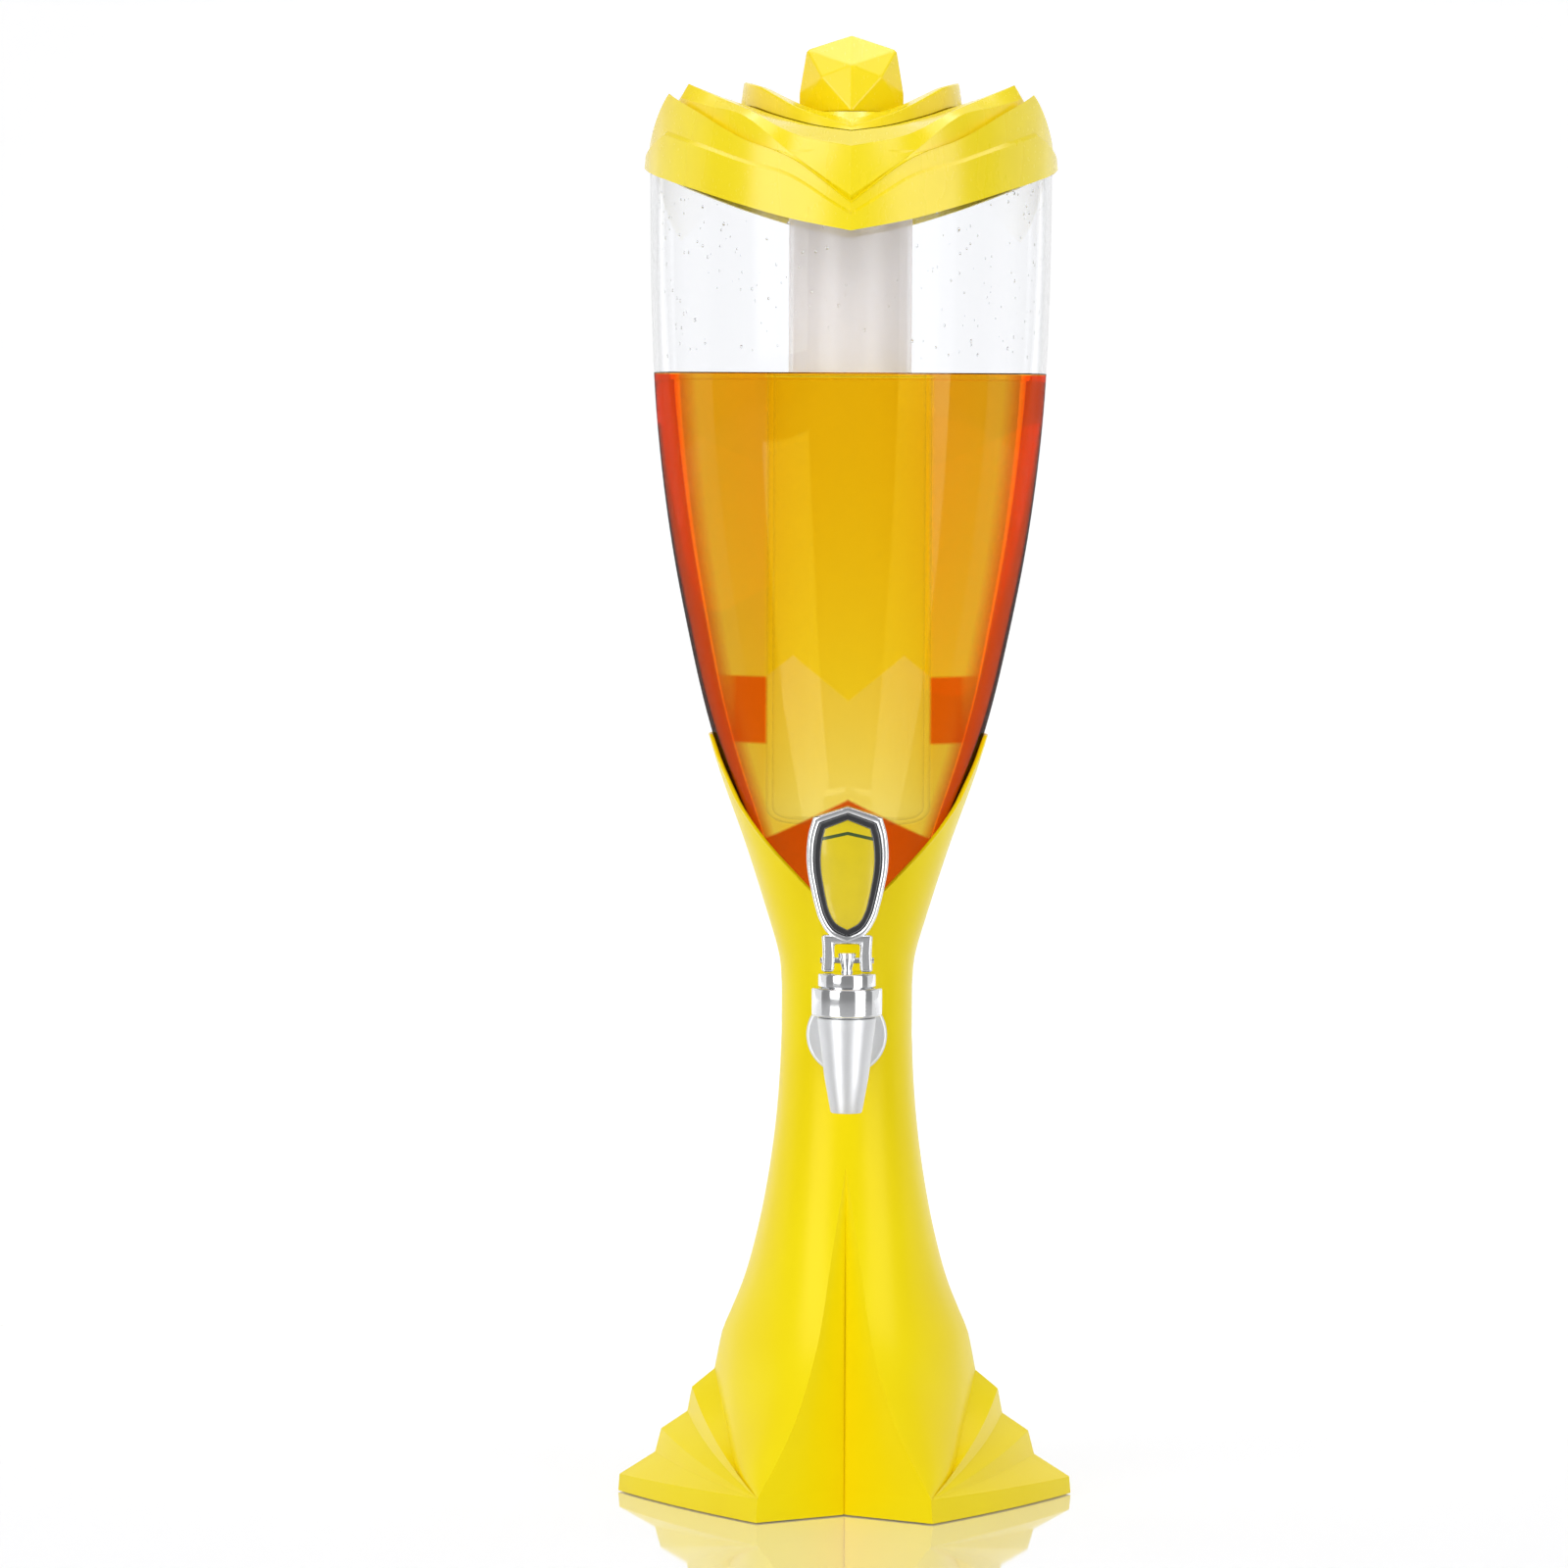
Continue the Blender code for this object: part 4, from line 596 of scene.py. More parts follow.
@dataclass(frozen=True)
class BadgeEnamel(Finish):
    """Plain yellow enamel with a dark chevron line under its peak."""

    colour: Point = (0.80, 0.62, 0.004)
    line: Point = (0.05, 0.09, 0.02)
    chevron_z: float = 0.2625
    slope: float = 0.22
    half_line: float = 0.00065

    def build(self, graph: Graph) -> bpy.types.Material:
        """Builds the shader in a graph.

        Args:
            graph: Empty graph of this finish.

        Returns:
            The finished material.
        """
        height = graph.axis("Z") + graph.axis("X").size() * self.slope
        stripe = (height - self.chevron_z).size().under(self.half_line)
        drift = graph.noise(120, 3)
        field = graph.mix(drift, self.colour, darker(self.colour, 0.86))
        colour = graph.mix(stripe, field, self.line)
        return graph.finish(graph.surface(base_color=colour, roughness=0.2 + drift * 0.08,
                                          coat_weight=0.5, coat_roughness=0.05))


@dataclass(frozen=True)
class PaleFloor(Finish):
    """White table top that mirrors the foot, and turns matt and lit from within at the back."""

    colour: Point = (0.90, 0.90, 0.905)
    glow: float = 0.3
    mirror: float = 0.6
    roughness: float = 0.035
    far_roughness: float = 0.7

    def build(self, graph: Graph) -> bpy.types.Material:
        """Builds the shader in a graph.

        Args:
            graph: Empty graph of this finish.

        Returns:
            The finished material.
        """
        haze = graph.noise(3, 3)
        colour = graph.mix(haze * 0.3, self.colour, darker(self.colour, 0.97))
        away = graph.ramp(graph.axis("Y") * 0.5, (0.08, 0.0), (0.6, 1.0))
        lit = graph.mix(away, (0.2, 0.2, 0.2), (1.0, 1.0, 1.0))
        rough = self.roughness + haze * 0.02 + away * self.far_roughness
        return graph.finish(graph.surface(base_color=colour, roughness=rough,
                                          metallic=self.mirror - away * self.mirror,
                                          emission_color=lit, emission_strength=self.glow))


YELLOW = MouldedPlastic("yellow_moulding", roughness=0.3, coat=0.04, sheen=(1.0, 0.84, 0.25))
LID_YELLOW = MouldedPlastic("lid_yellow_moulding", roughness=0.25, coat=0.4)
DARK = MouldedPlastic("dark_bezel", (0.035, 0.036, 0.04), (0.02, 0.02, 0.024), 0.16)
CLEAR = ClearWall("clear_canister")
FROST = FrostedWall("cold_ice_tube")
BEER = Beer("golden_beer")
WATER = Water("water_drops")
CHROME = PlatedMetal("bright_chrome")
SATIN = PlatedMetal("satin_chrome", (0.84, 0.85, 0.865), 0.45)
SILVER = PlatedMetal("lever_chrome", (0.90, 0.91, 0.93), 0.17)
STEEL = PlainSteel("plain_steel")
RUBBER = SoftRubber("soft_rubber")
BADGE = BadgeEnamel("badge_enamel")
FLOOR = PaleFloor("pale_floor")


# Numbers and meshes


def blend(start: float, end: float, share: float) -> float:
    """Value between start and end."""
    return start + (end - start) * share


def steps(count: int) -> list[float]:
    """Shares from 0 to 1 in even steps."""
    return [i / count for i in range(count + 1)]


def curve_at(table: Shares, key: float, column: int = 1) -> float:
    """Value of a table's column at a key, on a smooth curve through its rows.

    Args:
        table: Rows that start with a rising key.
        key: Key to look up.
        column: Column to read.

    Returns:
        Value at the key.
    """
    last = len(table) - 1
    if key <= table[0][0]:
        return table[0][column]
    if key >= table[last][0]:
        return table[last][column]
    row = next(i for i in range(last) if table[i][0] <= key <= table[i + 1][0])
    here, there = table[row], table[row + 1]
    before, after = table[max(row - 1, 0)], table[min(row + 2, last)]
    span = there[0] - here[0]
    share = (key - here[0]) / span
    slope_here = (there[column] - before[column]) / (there[0] - before[0]) * span
    slope_there = (after[column] - here[column]) / (after[0] - here[0]) * span
    square, cube = share ** 2, share ** 3
    start = (2 * cube - 3 * square + 1) * here[column] + (cube - 2 * square + share) * slope_here
    return start + (3 * square - 2 * cube) * there[column] + (cube - square) * slope_there


def quarter_round(side: float, end: float, radius: float, count: int, way: int = -1) -> list[tuple]:
    """Quarter round of a profile, from its end face to its side.

    Args:
        side: Radius of the side.
        end: Height of the end face.
        radius: Radius of the round.
        count: Facets of the round.
        way: 1 where the side runs up from the end face, -1 where it runs down.

    Returns:
        Radius and height of each point.
    """
    turns = [share * math.pi / 2 for share in steps(count)]
    return [(side - radius * (1 - math.sin(turn)), end + way * radius * (1 - math.cos(turn)))
            for turn in turns]


def halved(low: float, high: float, short: Callable[[float], bool]) -> float:
    """Place up to which a test holds, found by halving.

    Args:
        low: Place where the test holds.
        high: Place where it doesn't.
        short: Test of a place.

    Returns:
        The place.
    """
    for _ in range(24):
        middle = (low + high) / 2
        low, high = (middle, high) if short(middle) else (low, middle)
    return low


def linked(name: str, data: bpy.types.ID) -> bpy.types.Object:
    """New object of the scene with its data.

    Args:
        name: Name of the object.
        data: Mesh, light or camera.

    Returns:
        The object.
    """
    item = bpy.data.objects.new(name, data)
    bpy.context.scene.collection.objects.link(item)
    return item


class Piece:
    """Mesh that is being built and dressed."""

    def __init__(self, name: str) -> None:
        """Starts an empty mesh."""
        self.name = name
        self.bm = bmesh.new()

    def rows(self, rings: Rings, closed: bool = False) -> "Piece":
        """Adds faces between closed rings of equal counts.

        Args:
            rings: Rings in order.
            closed: Whether the last ring joins the first.

        Returns:
            The piece.
        """
        made = [[self.bm.verts.new(point) for point in ring] for ring in rings]
        pairs = list(zip(made[:-1], made[1:]))
        if closed:
            pairs.append((made[-1], made[0]))
        for low, high in pairs:
            count = len(low)
            for i in range(count):
                j = (i + 1) % count
                self.bm.faces.new((low[i], low[j], high[j], high[i]))
        return self

    def lid_on(self, ring: list[Point]) -> "Piece":
        """Adds a flat face over a ring."""
        self.bm.faces.new([self.bm.verts.new(point) for point in ring])
        return self

    def turned(self, profile: Sequence[Sequence[float]], sides: int = 96, closed: bool = False,
               place: Point = (0, 0, 0), flat: bool = False) -> "Piece":
        """Adds a body turned about an axis.

        Args:
            profile: Radius and height of each point, down the outer side.
            sides: Facets round the axis.
            closed: Whether the profile is a closed loop.
            place: Foot of the axis.
            flat: Whether the axis runs along Y, towards the front, in place of Z.

        Returns:
            The piece.
        """
        rings = []
        for radius, height in profile:
            ring = []
            for i in range(sides):
                turn = math.tau * i / sides
                x, y = radius * math.cos(turn), radius * math.sin(turn)
                spot = (x, -height, y) if flat else (x, y, height)
                ring.append(tuple(a + b for a, b in zip(spot, place)))
            rings.append(ring)
        return self.rows(rings, closed)

    def plate(self, outlines: Sequence[tuple[Sequence[Sequence[float]], float]],
              closed: bool = False) -> "Piece":
        """Adds a body through outlines in the XZ plane.

        Args:
            outlines: Outline and its depth in front of the axis, in order.
            closed: Whether the last outline joins the first; else both ends are filled.

        Returns:
            The piece.
        """
        rings = [[(x, -depth, z) for x, z in outline] for outline, depth in outlines]
        self.rows(rings, closed)
        if not closed:
            self.lid_on(rings[0]).lid_on(rings[-1])
        return self

    def meshed(self) -> bpy.types.Mesh:
        """Plain mesh with its faces turned outwards; the piece is used up.

        Returns:
            The mesh.
        """
        bmesh.ops.recalc_face_normals(self.bm, faces=self.bm.faces)
        mesh = bpy.data.meshes.new(self.name)
        self.bm.to_mesh(mesh)
        self.bm.free()
        return mesh

    def dressed(self, finish: Finish, body: Body, slot: Slot, *nodes: str,
                sharp: float = 32.0, bevel: float = 0.0) -> bpy.types.Object:
        """Finishes the mesh and gives it to a body.

        Args:
            finish: Finish of the piece.
            body: Body that it moves with.
            slot: Material slot of the record, handed on to give.
            nodes: CAD nodes that it stands for.
            sharp: Angle in degrees over which an edge stays sharp.
            bevel: Width of a bevel on sharp edges.

        Returns:
            The finished object.
        """
        bmesh.ops.remove_doubles(self.bm, verts=self.bm.verts, dist=2e-6)
        bmesh.ops.dissolve_degenerate(self.bm, edges=self.bm.edges, dist=1e-6)
        mesh = self.meshed()
        mesh.shade_smooth()
        mesh.set_sharp_from_angle(angle=math.radians(sharp))
        mesh.materials.append(finish.material())
        item = linked(self.name, mesh)
        if bevel:
            edges = item.modifiers.new("edges", "BEVEL")
            edges.width = bevel
            edges.segments = 3
            edges.limit_method = "ANGLE"
            edges.angle_limit = math.radians(sharp)
            edges.harden_normals = True
        give(item, body, slot, *nodes)
        return item


def give(item: bpy.types.Object, body: Body, slot: Slot, *nodes: str) -> None:
    """Makes a finished piece ride on a body.

    Args:
        item: Finished object.
        body: Body that it moves with.
        slot: Not used.
        nodes: CAD nodes that it stands for.
    """
    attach(item, body.value)
    if nodes:
        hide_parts(*nodes)
    LOG.info("%s rides on %s, %d faces", item.name, body.value, len(item.data.polygons))


def full_ring(quarter: list[Point]) -> list[Point]:
    """Closed ring from a quarter that runs from the front, x = 0, to the side, y = 0.

    Args:
        quarter: Points of the quarter.

    Returns:
        Points of the closed ring.
    """
    right_back = [(x, -y, z) for x, y, z in reversed(quarter[:-1])]
    left_back = [(-x, -y, z) for x, y, z in quarter[1:]]
    left_front = [(-x, y, z) for x, y, z in reversed(quarter[1:-1])]
    return quarter + right_back + left_back + left_front


# Node trees that scatter


class Tree:
    """Geometry node tree with named inputs."""

    def __init__(self, name: str, inputs: dict[str, float]) -> None:
        """Starts a tree.

        Args:
            name: Name of the tree.
            inputs: Named inputs and their values.
        """
        self.group = bpy.data.node_groups.new(name, "GeometryNodeTree")
        face = self.group.interface
        face.new_socket("Geometry", in_out="INPUT", socket_type="NodeSocketGeometry")
        face.new_socket("Geometry", in_out="OUTPUT", socket_type="NodeSocketGeometry")
        self.values = inputs
        self.keys = {}
        for key in inputs:
            socket = face.new_socket(key, in_out="INPUT", socket_type="NodeSocketFloat")
            self.keys[key] = socket.identifier
        self.start = self.group.nodes.new("NodeGroupInput")
        self.end = self.group.nodes.new("NodeGroupOutput")

    def node(self, kind: str, settings: Optional[dict] = None,
             values: Optional[dict] = None) -> bpy.types.Node:
        """Adds a node.

        Args:
            kind: Full type of the node.
            settings: Attributes that are set first.
            values: Input values, or sockets to link, by socket name or number.

        Returns:
            The node.
        """
        made = self.group.nodes.new(kind)
        for key, setting in (settings or {}).items():
            setattr(made, key, setting)
        for key, value in (values or {}).items():
            if isinstance(value, bpy.types.NodeSocket):
                self.group.links.new(value, made.inputs[key])
            else:
                made.inputs[key].default_value = value
        return made

    def finish(self, shape: bpy.types.NodeSocket, finish: Finish) -> None:
        """Realizes the instances, sets the material and links the output.

        Args:
            shape: Socket with the instances.
            finish: Finish that they wear.
        """
        real = self.node("GeometryNodeRealizeInstances", values={0: shape})
        worn = self.node("GeometryNodeSetMaterial", values={0: real.outputs[0]})
        worn.inputs["Material"].default_value = finish.material()
        self.group.links.new(worn.outputs[0], self.end.inputs[0])

    def run(self, carrier: bpy.types.Object, name: str) -> bpy.types.Object:
        """Runs the tree on an object and keeps its result.

        Args:
            carrier: Object that holds the input mesh; it is removed.
            name: Name of the result.

        Returns:
            Object with the plain mesh.
        """
        modifier = carrier.modifiers.new(name, "NODES")
        modifier.node_group = self.group
        for key, value in self.values.items():
            modifier[self.keys[key]] = value
        bpy.context.view_layer.update()
        shape = carrier.evaluated_get(bpy.context.evaluated_depsgraph_get())
        mesh = bpy.data.meshes.new_from_object(shape)
        mesh.name = name
        bpy.data.objects.remove(carrier, do_unlink=True)
        return linked(name, mesh)


def scatter_drops(band: Piece, inputs: dict[str, float]) -> None:
    """Scatters drops on a band of the canister's inner wall.

    Args:
        band: Mesh of the band.
        inputs: Density, smallest and largest size and drop radius.
    """
    tree = Tree("drops_on_wall", inputs)
    start = tree.start.outputs
    spread = tree.node("GeometryNodeDistributePointsOnFaces", {"distribute_method": "RANDOM"},
                       {"Mesh": start["Geometry"], "Density": start["Density"], "Seed": 7})
    drop = tree.node("GeometryNodeMeshIcoSphere",
                     values={"Radius": start["Drop radius"], "Subdivisions": 2})
    size = tree.node("FunctionNodeRandomValue", {"data_type": "FLOAT"},
                     {2: start["Smallest"], 3: start["Largest"], "Seed": 11})
    placed = tree.node("GeometryNodeInstanceOnPoints", values={
        "Points": spread.outputs["Points"], "Instance": drop.outputs["Mesh"],
        "Rotation": spread.outputs["Rotation"], "Scale": size.outputs[1]})
    flat = tree.node("GeometryNodeScaleInstances", values={
        "Instances": placed.outputs[0], "Scale": (1.0, 1.15, 0.4)})
    tree.finish(flat.outputs[0], WATER)
    item = tree.run(linked(band.name, band.meshed()), "wall_drops")
    item.data.shade_smooth()
    give(item, Body.ROOT, Slot.CLEAR)


# Canister, beer and ice tube


@dataclass
class Canister:
    """Clear canister with its beer and the drops inside its empty top."""

    radius: float = 78.3 * MM
    wall: float = 2.4 * MM
    rim_z: float = 521.0 * MM
    bowl_z: float = 200.0 * MM
    spigot_radius: float = 22.5 * MM
    spigot_z: float = 162.0 * MM
    floor: float = 3.0 * MM
    floor_round: float = 1.5 * MM
    foot_edge: float = 1.6 * MM
    lip: float = 0.9 * MM
    sides: int = 160
    rows: int = 60
    beer_z: float = 438.6 * MM
    beer_gap: float = -0.1 * MM
    climb: float = 0.5 * MM
    tube_hole: float = 24.6 * MM
    tube_foot: float = 267.2 * MM
    tube_round: float = 5.0 * MM
    drops: int = 280
    drop_margin: float = 6.0 * MM
    shares: Shares = (
        (0.0, 0.0), (0.035, 0.020), (0.085, 0.105), (0.170, 0.268), (0.265, 0.470), (0.340, 0.600),
        (0.435, 0.725), (0.530, 0.830), (0.625, 0.907), (0.720, 0.958), (0.850, 0.990), (1.0, 1.0),
    )

    def radius_at(self, height: float) -> float:
        """Outer radius at a height."""
        share = (height - self.bowl_z) / (self.rim_z - self.bowl_z)
        return blend(self.spigot_radius, self.radius, curve_at(self.shares, share))

    def heights(self, top: float) -> list[float]:
        """Heights of the bowl's rows up to a top."""
        return [blend(self.bowl_z, top, share) for share in steps(self.rows)]

    def foot(self, floor: float, radius: float) -> list[tuple[float, float]]:
        """Start of a profile that runs out on the canister's floor."""
        return [(0, floor), (radius - self.floor_round, floor), (radius, floor + self.floor_round)]

    def build_wall(self) -> None:
        """Canister with a rounded rim."""
        rows = self.heights(self.rim_z - self.lip)
        profile = self.foot(self.spigot_z + self.floor, self.spigot_radius - self.wall)
        profile += [(self.radius_at(z) - self.wall, z) for z in rows]
        middle = self.radius - self.wall / 2
        for share in steps(6)[1:-1]:
            turn = math.pi * share
            profile.append((middle - self.wall / 2 * math.cos(turn), rows[-1] + self.lip * math.sin(turn)))
        profile += [(self.radius_at(z), z) for z in reversed(rows)]
        profile.append((self.spigot_radius, self.spigot_z + self.foot_edge))
        profile += [(self.spigot_radius - self.foot_edge, self.spigot_z), (0, self.spigot_z)]
        piece = Piece("canister_wall").turned(profile, self.sides)
        piece.dressed(CLEAR, Body.ROOT, Slot.CLEAR, "canister")

    def build_beer(self) -> None:
        """Beer with a meniscus at the wall and a hollow for the ice tube."""
        def skin(height: float) -> float:
            """Radius of the beer at a height."""
            return self.radius_at(height) - self.wall - self.beer_gap

        profile = self.foot(self.spigot_z + self.floor + self.beer_gap,
                            self.spigot_radius - self.wall - self.beer_gap)
        top = self.beer_z + self.climb
        profile += [(skin(z), z) for z in self.heights(top)]
        for share in steps(6)[1:]:
            away = self.climb * 2.2 * share
            profile.append((skin(top) - away, self.beer_z + self.climb * (1 - share) ** 3))
        profile += [(self.tube_hole, self.beer_z), (self.tube_hole, self.tube_foot + self.tube_round)]
        profile += [(self.tube_hole - self.tube_round, self.tube_foot), (0, self.tube_foot)]
        Piece("beer").turned(profile, self.sides).dressed(BEER, Body.ROOT, Slot.CLEAR)

    def build_drops(self) -> None:
        """Drops on the inner wall above the beer, scattered by a node tree."""
        low, high = self.beer_z + self.drop_margin, self.rim_z - self.drop_margin
        band = Piece("drop_band")
        rings = []
        for height in (low, high):
            wall = self.radius_at(height) - self.wall - 0.1 * MM
            turns = [math.tau * i / 96 for i in range(96)]
            rings.append([(wall * math.cos(turn), wall * math.sin(turn), height) for turn in turns])
        band.rows(rings)
        area = math.tau * (self.radius - self.wall) * (high - low)
        inputs = {"Density": self.drops / area, "Smallest": 0.25, "Largest": 0.75, "Drop radius": 0.85 * MM}
        scatter_drops(band, inputs)

    def build(self) -> None:
        """Builds the canister and what is in it."""
        self.build_wall()
        self.build_beer()
        self.build_drops()


@dataclass
class IceTube:
    """Clear ice tube that hangs from the lid into the beer."""

    radius: float = 24.0 * MM
    wall: float = 1.8 * MM
    bottom_z: float = 267.8 * MM
    flange_radius: float = 30.0 * MM
    flange_z: float = 527.8 * MM
    top_z: float = 529.8 * MM
    rounding: float = 5.0 * MM

    def build(self) -> None:
        """Builds the tube."""
        inner = self.radius - self.wall
        foot = self.bottom_z + self.wall
        profile = [(0, foot)] + quarter_round(inner, foot, self.rounding, 8, 1)
        profile += [(inner, self.top_z), (self.flange_radius, self.top_z)]
        profile += [(self.flange_radius, self.flange_z), (self.radius, self.flange_z)]
        outer = quarter_round(self.radius, self.bottom_z, self.rounding + self.wall, 8, 1)
        profile += outer[::-1] + [(0, self.bottom_z)]
        Piece("ice_tube_wall").turned(profile, 96).dressed(FROST, Body.ICE_TUBE, Slot.CLEAR, "ice_tube")


# Stand


@dataclass
class Stand:
    """Moulded stand: foot with pleated lobes, neck, and a cup with two petals."""

    canister: Canister
    gap: float = 0.3 * MM
    neck_wall: float = 2.7 * MM
    tip_wall: float = 1.4 * MM
    tip_z: float = 298.4 * MM
    notch_z: float = 229.0 * MM
    waist_z: float = 181.0 * MM
    shelf_z: float = 159.0 * MM
    roof_z: float = 154.0 * MM
    floor_z: float = 0.3 * MM
    foot_wall: float = 3.1 * MM
    valley_z: float = 131.0 * MM
    toe: Point = (33.2 * MM, 82.0 * MM, 9.4 * MM)
    toe_flare: float = 0.5 * MM
    heel: float = 60.4 * MM
    flatness: float = 0.38
    bulge: float = 3.0 * MM
    spine_top: Sequence[float] = (51.2 * MM, 48.7 * MM)
    spine_end: Sequence[float] = (88.3 * MM, 6.8 * MM)
    columns: int = 40
    slit: float = 1.0 * MM
    slit_depth: float = 1.0 * MM
    slit_fade: float = 8.0 * MM
    ridge_shares: Shares = (
        (0.0, 1.0, 1.0), (0.165, 0.665, 0.715), (0.300, 0.470, 0.505), (0.480, 0.295, 0.283),
        (0.700, 0.172, 0.120), (0.845, 0.090, 0.048), (1.0, 0.0, 0.0),
    )
    crease_shares: Shares = (
        (0.0, 1.0), (0.150, 0.760), (0.300, 0.497), (0.530, 0.203), (0.760, 0.045), (1.0, 0.0),
    )
    flare_shares: Shares = (
        (0.0, 1.0), (0.119, 0.875), (0.163, 0.779), (0.278, 0.545), (0.423, 0.346), (0.568, 0.202),
        (0.714, 0.097), (0.859, 0.032), (1.0, 0.0),
    )
    edge_shares: Shares = (
        (0.0, 0.0, 0.0, 0.0), (0.14, 0.165, 0.100, 0.036), (0.30, 0.440, 0.268, 0.170),
        (0.62, 0.715, 0.634, 0.560), (1.0, 1.0, 1.0, 1.0),
    )
    grooves: Shares = ((0.0, 0.0), (0.375, 0.212), (0.714, 0.597))
    crests: Shares = ((0.439, 0.432), (0.763, 0.826))
    notch_shares: Shares = (
        (-0.20, 0.105), (0.0, 0.0), (0.20, 0.105), (0.37, 0.235), (0.60, 0.425), (0.77, 0.605),
        (0.865, 0.755), (0.935, 0.880), (0.985, 1.0),
    )

    def wide(self, height: float) -> float:
        """Half width above the fan at a height.

        Args:
            height: Height in metres.

        Returns:
            Half width.
        """
        if height < self.waist_z:
            share = (height - self.spine_top[1]) / (self.waist_z - self.spine_top[1])
            neck = self.canister.spigot_radius + self.gap + self.neck_wall
            return blend(neck, self.spine_top[0], curve_at(self.flare_shares, share))
        if height < self.canister.bowl_z:
            return self.canister.spigot_radius + self.gap + self.neck_wall
        return self.inside(height) + self.wall_at(height)

    def inside(self, height: float) -> float:
        """Radius of the canister's seat in the cup.

        Args:
            height: Height in metres.

        Returns:
            Radius.
        """
        if height < self.canister.bowl_z:
            return self.canister.spigot_radius + self.gap
        return self.canister.radius_at(height) + self.gap

    def wall_at(self, height: float) -> float:
        """Wall of the cup at a height."""
        share = (height - self.canister.bowl_z) / (self.tip_z - self.canister.bowl_z)
        return blend(self.neck_wall, self.tip_wall, min(max(share, 0), 1))

    def crease(self, height: float) -> Point:
        """Bottom of the valley between the front lobes.

        Args:
            height: Height in metres.

        Returns:
            Point of the valley.
        """
        top = self.wide(self.valley_z)
        share = max(height, 0) / self.valley_z
        return (0, -blend(top, self.heel, curve_at(self.crease_shares, share)), height)

    def ridge(self, height: float) -> Point:
        """Front ridge of the right lobe.

        Args:
            height: Height in metres.

        Returns:
            Point of the ridge.
        """
        share = (height - self.toe[2]) / (self.valley_z - self.toe[2])
        side = self.toe[0] * curve_at(self.ridge_shares, share)
        depth = blend(self.wide(self.valley_z), self.toe[1], curve_at(self.ridge_shares, share, 2))
        return (side, -depth, height)

    def lobe_edge(self, share: float) -> Point:
        """Outer edge of the lobe's face, from the toe to the spine's top.

        Args:
            share: Share of the way from the toe.

        Returns:
            Point of the edge.
        """
        side = blend(self.toe[0], self.spine_top[0], curve_at(self.edge_shares, share))
        depth = self.toe[1] * (1 - curve_at(self.edge_shares, share, 2))
        return (side, -depth, blend(self.toe[2], self.spine_top[1], curve_at(self.edge_shares, share, 3)))

    def roundness(self, height: float) -> float:
        """How round the lobe's face is at a height."""
        share = (height - self.toe[2]) / (self.valley_z - self.toe[2])
        return blend(self.flatness, 1, min(max(share, 0), 1))

    def lobe_row(self, start: Point, end: Point, columns: int) -> list[Point]:
        """Level row on the lobe, between a chord and a quarter of an ellipse.

        Args:
            start: First point, at the ridge.
            end: Last point, at the outer edge.
            columns: Count of parts.

        Returns:
            Points of the row.
        """
        round_share = self.roundness(start[2])
        row = []
        for share in steps(columns):
            turn = share * math.pi / 2
            across = blend(share, math.sin(turn), round_share)
            along = blend(share, 1 - math.cos(turn), round_share)
            row.append((blend(start[0], end[0], across), blend(start[1], end[1], along), start[2]))
        return row

    def ray(self, target: Sequence[float]) -> list[Point]:
        """Crest or groove of the fan from the toe to a place on the spine.

        Args:
            target: Side and height of its end on the spine.

        Returns:
            Points from the toe to the spine.
        """
        points = []
        for share in steps(self.columns):
            side = blend(self.toe[0], target[0], share) + self.bulge * 4 * share * (1 - share)
            points.append((side, -self.toe[1] * (1 - share), blend(self.toe[2], target[1], share)))
        return points

    def spine_place(self, shares: Sequence[float]) -> tuple[float, float]:
        """Side and height of a place on the spine."""
        side = blend(self.spine_end[0], self.spine_top[0], shares[0])
        return side, blend(self.spine_end[1], self.spine_top[1], shares[1])

    def foot_rows(self, spine: Shares) -> Rings:
        """Quarter rows of the foot up to the top of the spine.

        Args:
            spine: Places of the grooves and crests on the spine, from its end up.

        Returns:
            Rows from the floor up.
        """
        grown = 1 + self.toe_flare / self.toe[1]
        foot = [(x + self.toe_flare, y * grown, self.floor_z) for x, y, _ in self.ray(self.spine_end)]
        rows = [[self.crease(self.floor_z)] + foot]
        rows += [[self.crease(self.toe[2])] + self.ray(self.spine_place(shares)) for shares in spine]
        edge = [self.lobe_edge(share) for share in steps(self.columns)]
        rows.append([self.crease(self.toe[2])] + edge)
        for column in range(1, self.columns):
            height = edge[column][2]
            face = self.lobe_row(self.ridge(height), edge[column], column)
            rows.append([self.crease(height)] + face + edge[column + 1:])
        return rows

    def upper_rows(self, top: float, count: int) -> Rings:
        """Quarter rows from the top of the spine up to a height.

        Args:
            top: Height of the last row.
            count: Count of parts.

        Returns:
            Rows from the spine's top up.
        """
        rows = []
        for share in steps(count):
            height = blend(self.spine_top[1], top, share)
            side = (self.wide(height), 0, height)
            if height < self.valley_z:
                front, fold = self.ridge(height), self.crease(height)
            else:
                front = fold = (0, -side[0], height)
            rows.append([fold] + self.lobe_row(front, side, self.columns))
        return rows

    def notch_height(self, turn: float) -> float:
        """Height of the cup's edge at an angle from the side.

        Args:
            turn: Angle from the side in radians.

        Returns:
            Height of the edge.
        """
        def outside(rise: float) -> bool:
            """Whether the cup reaches past the notch at a height share."""
            reach = self.wide(blend(self.notch_z, self.tip_z, rise)) * abs(math.cos(turn))
            return reach > self.wide(self.tip_z) * self.notch_side(rise)

        return blend(self.notch_z, self.tip_z, halved(0.0, 1.0, outside))

    def notch_side(self, rise: float) -> float:
        """Width share of the notch at a height share."""
        widest = self.notch_shares[-1][0]
        return halved(0.0, widest, lambda side: curve_at(self.notch_shares, side) < rise)

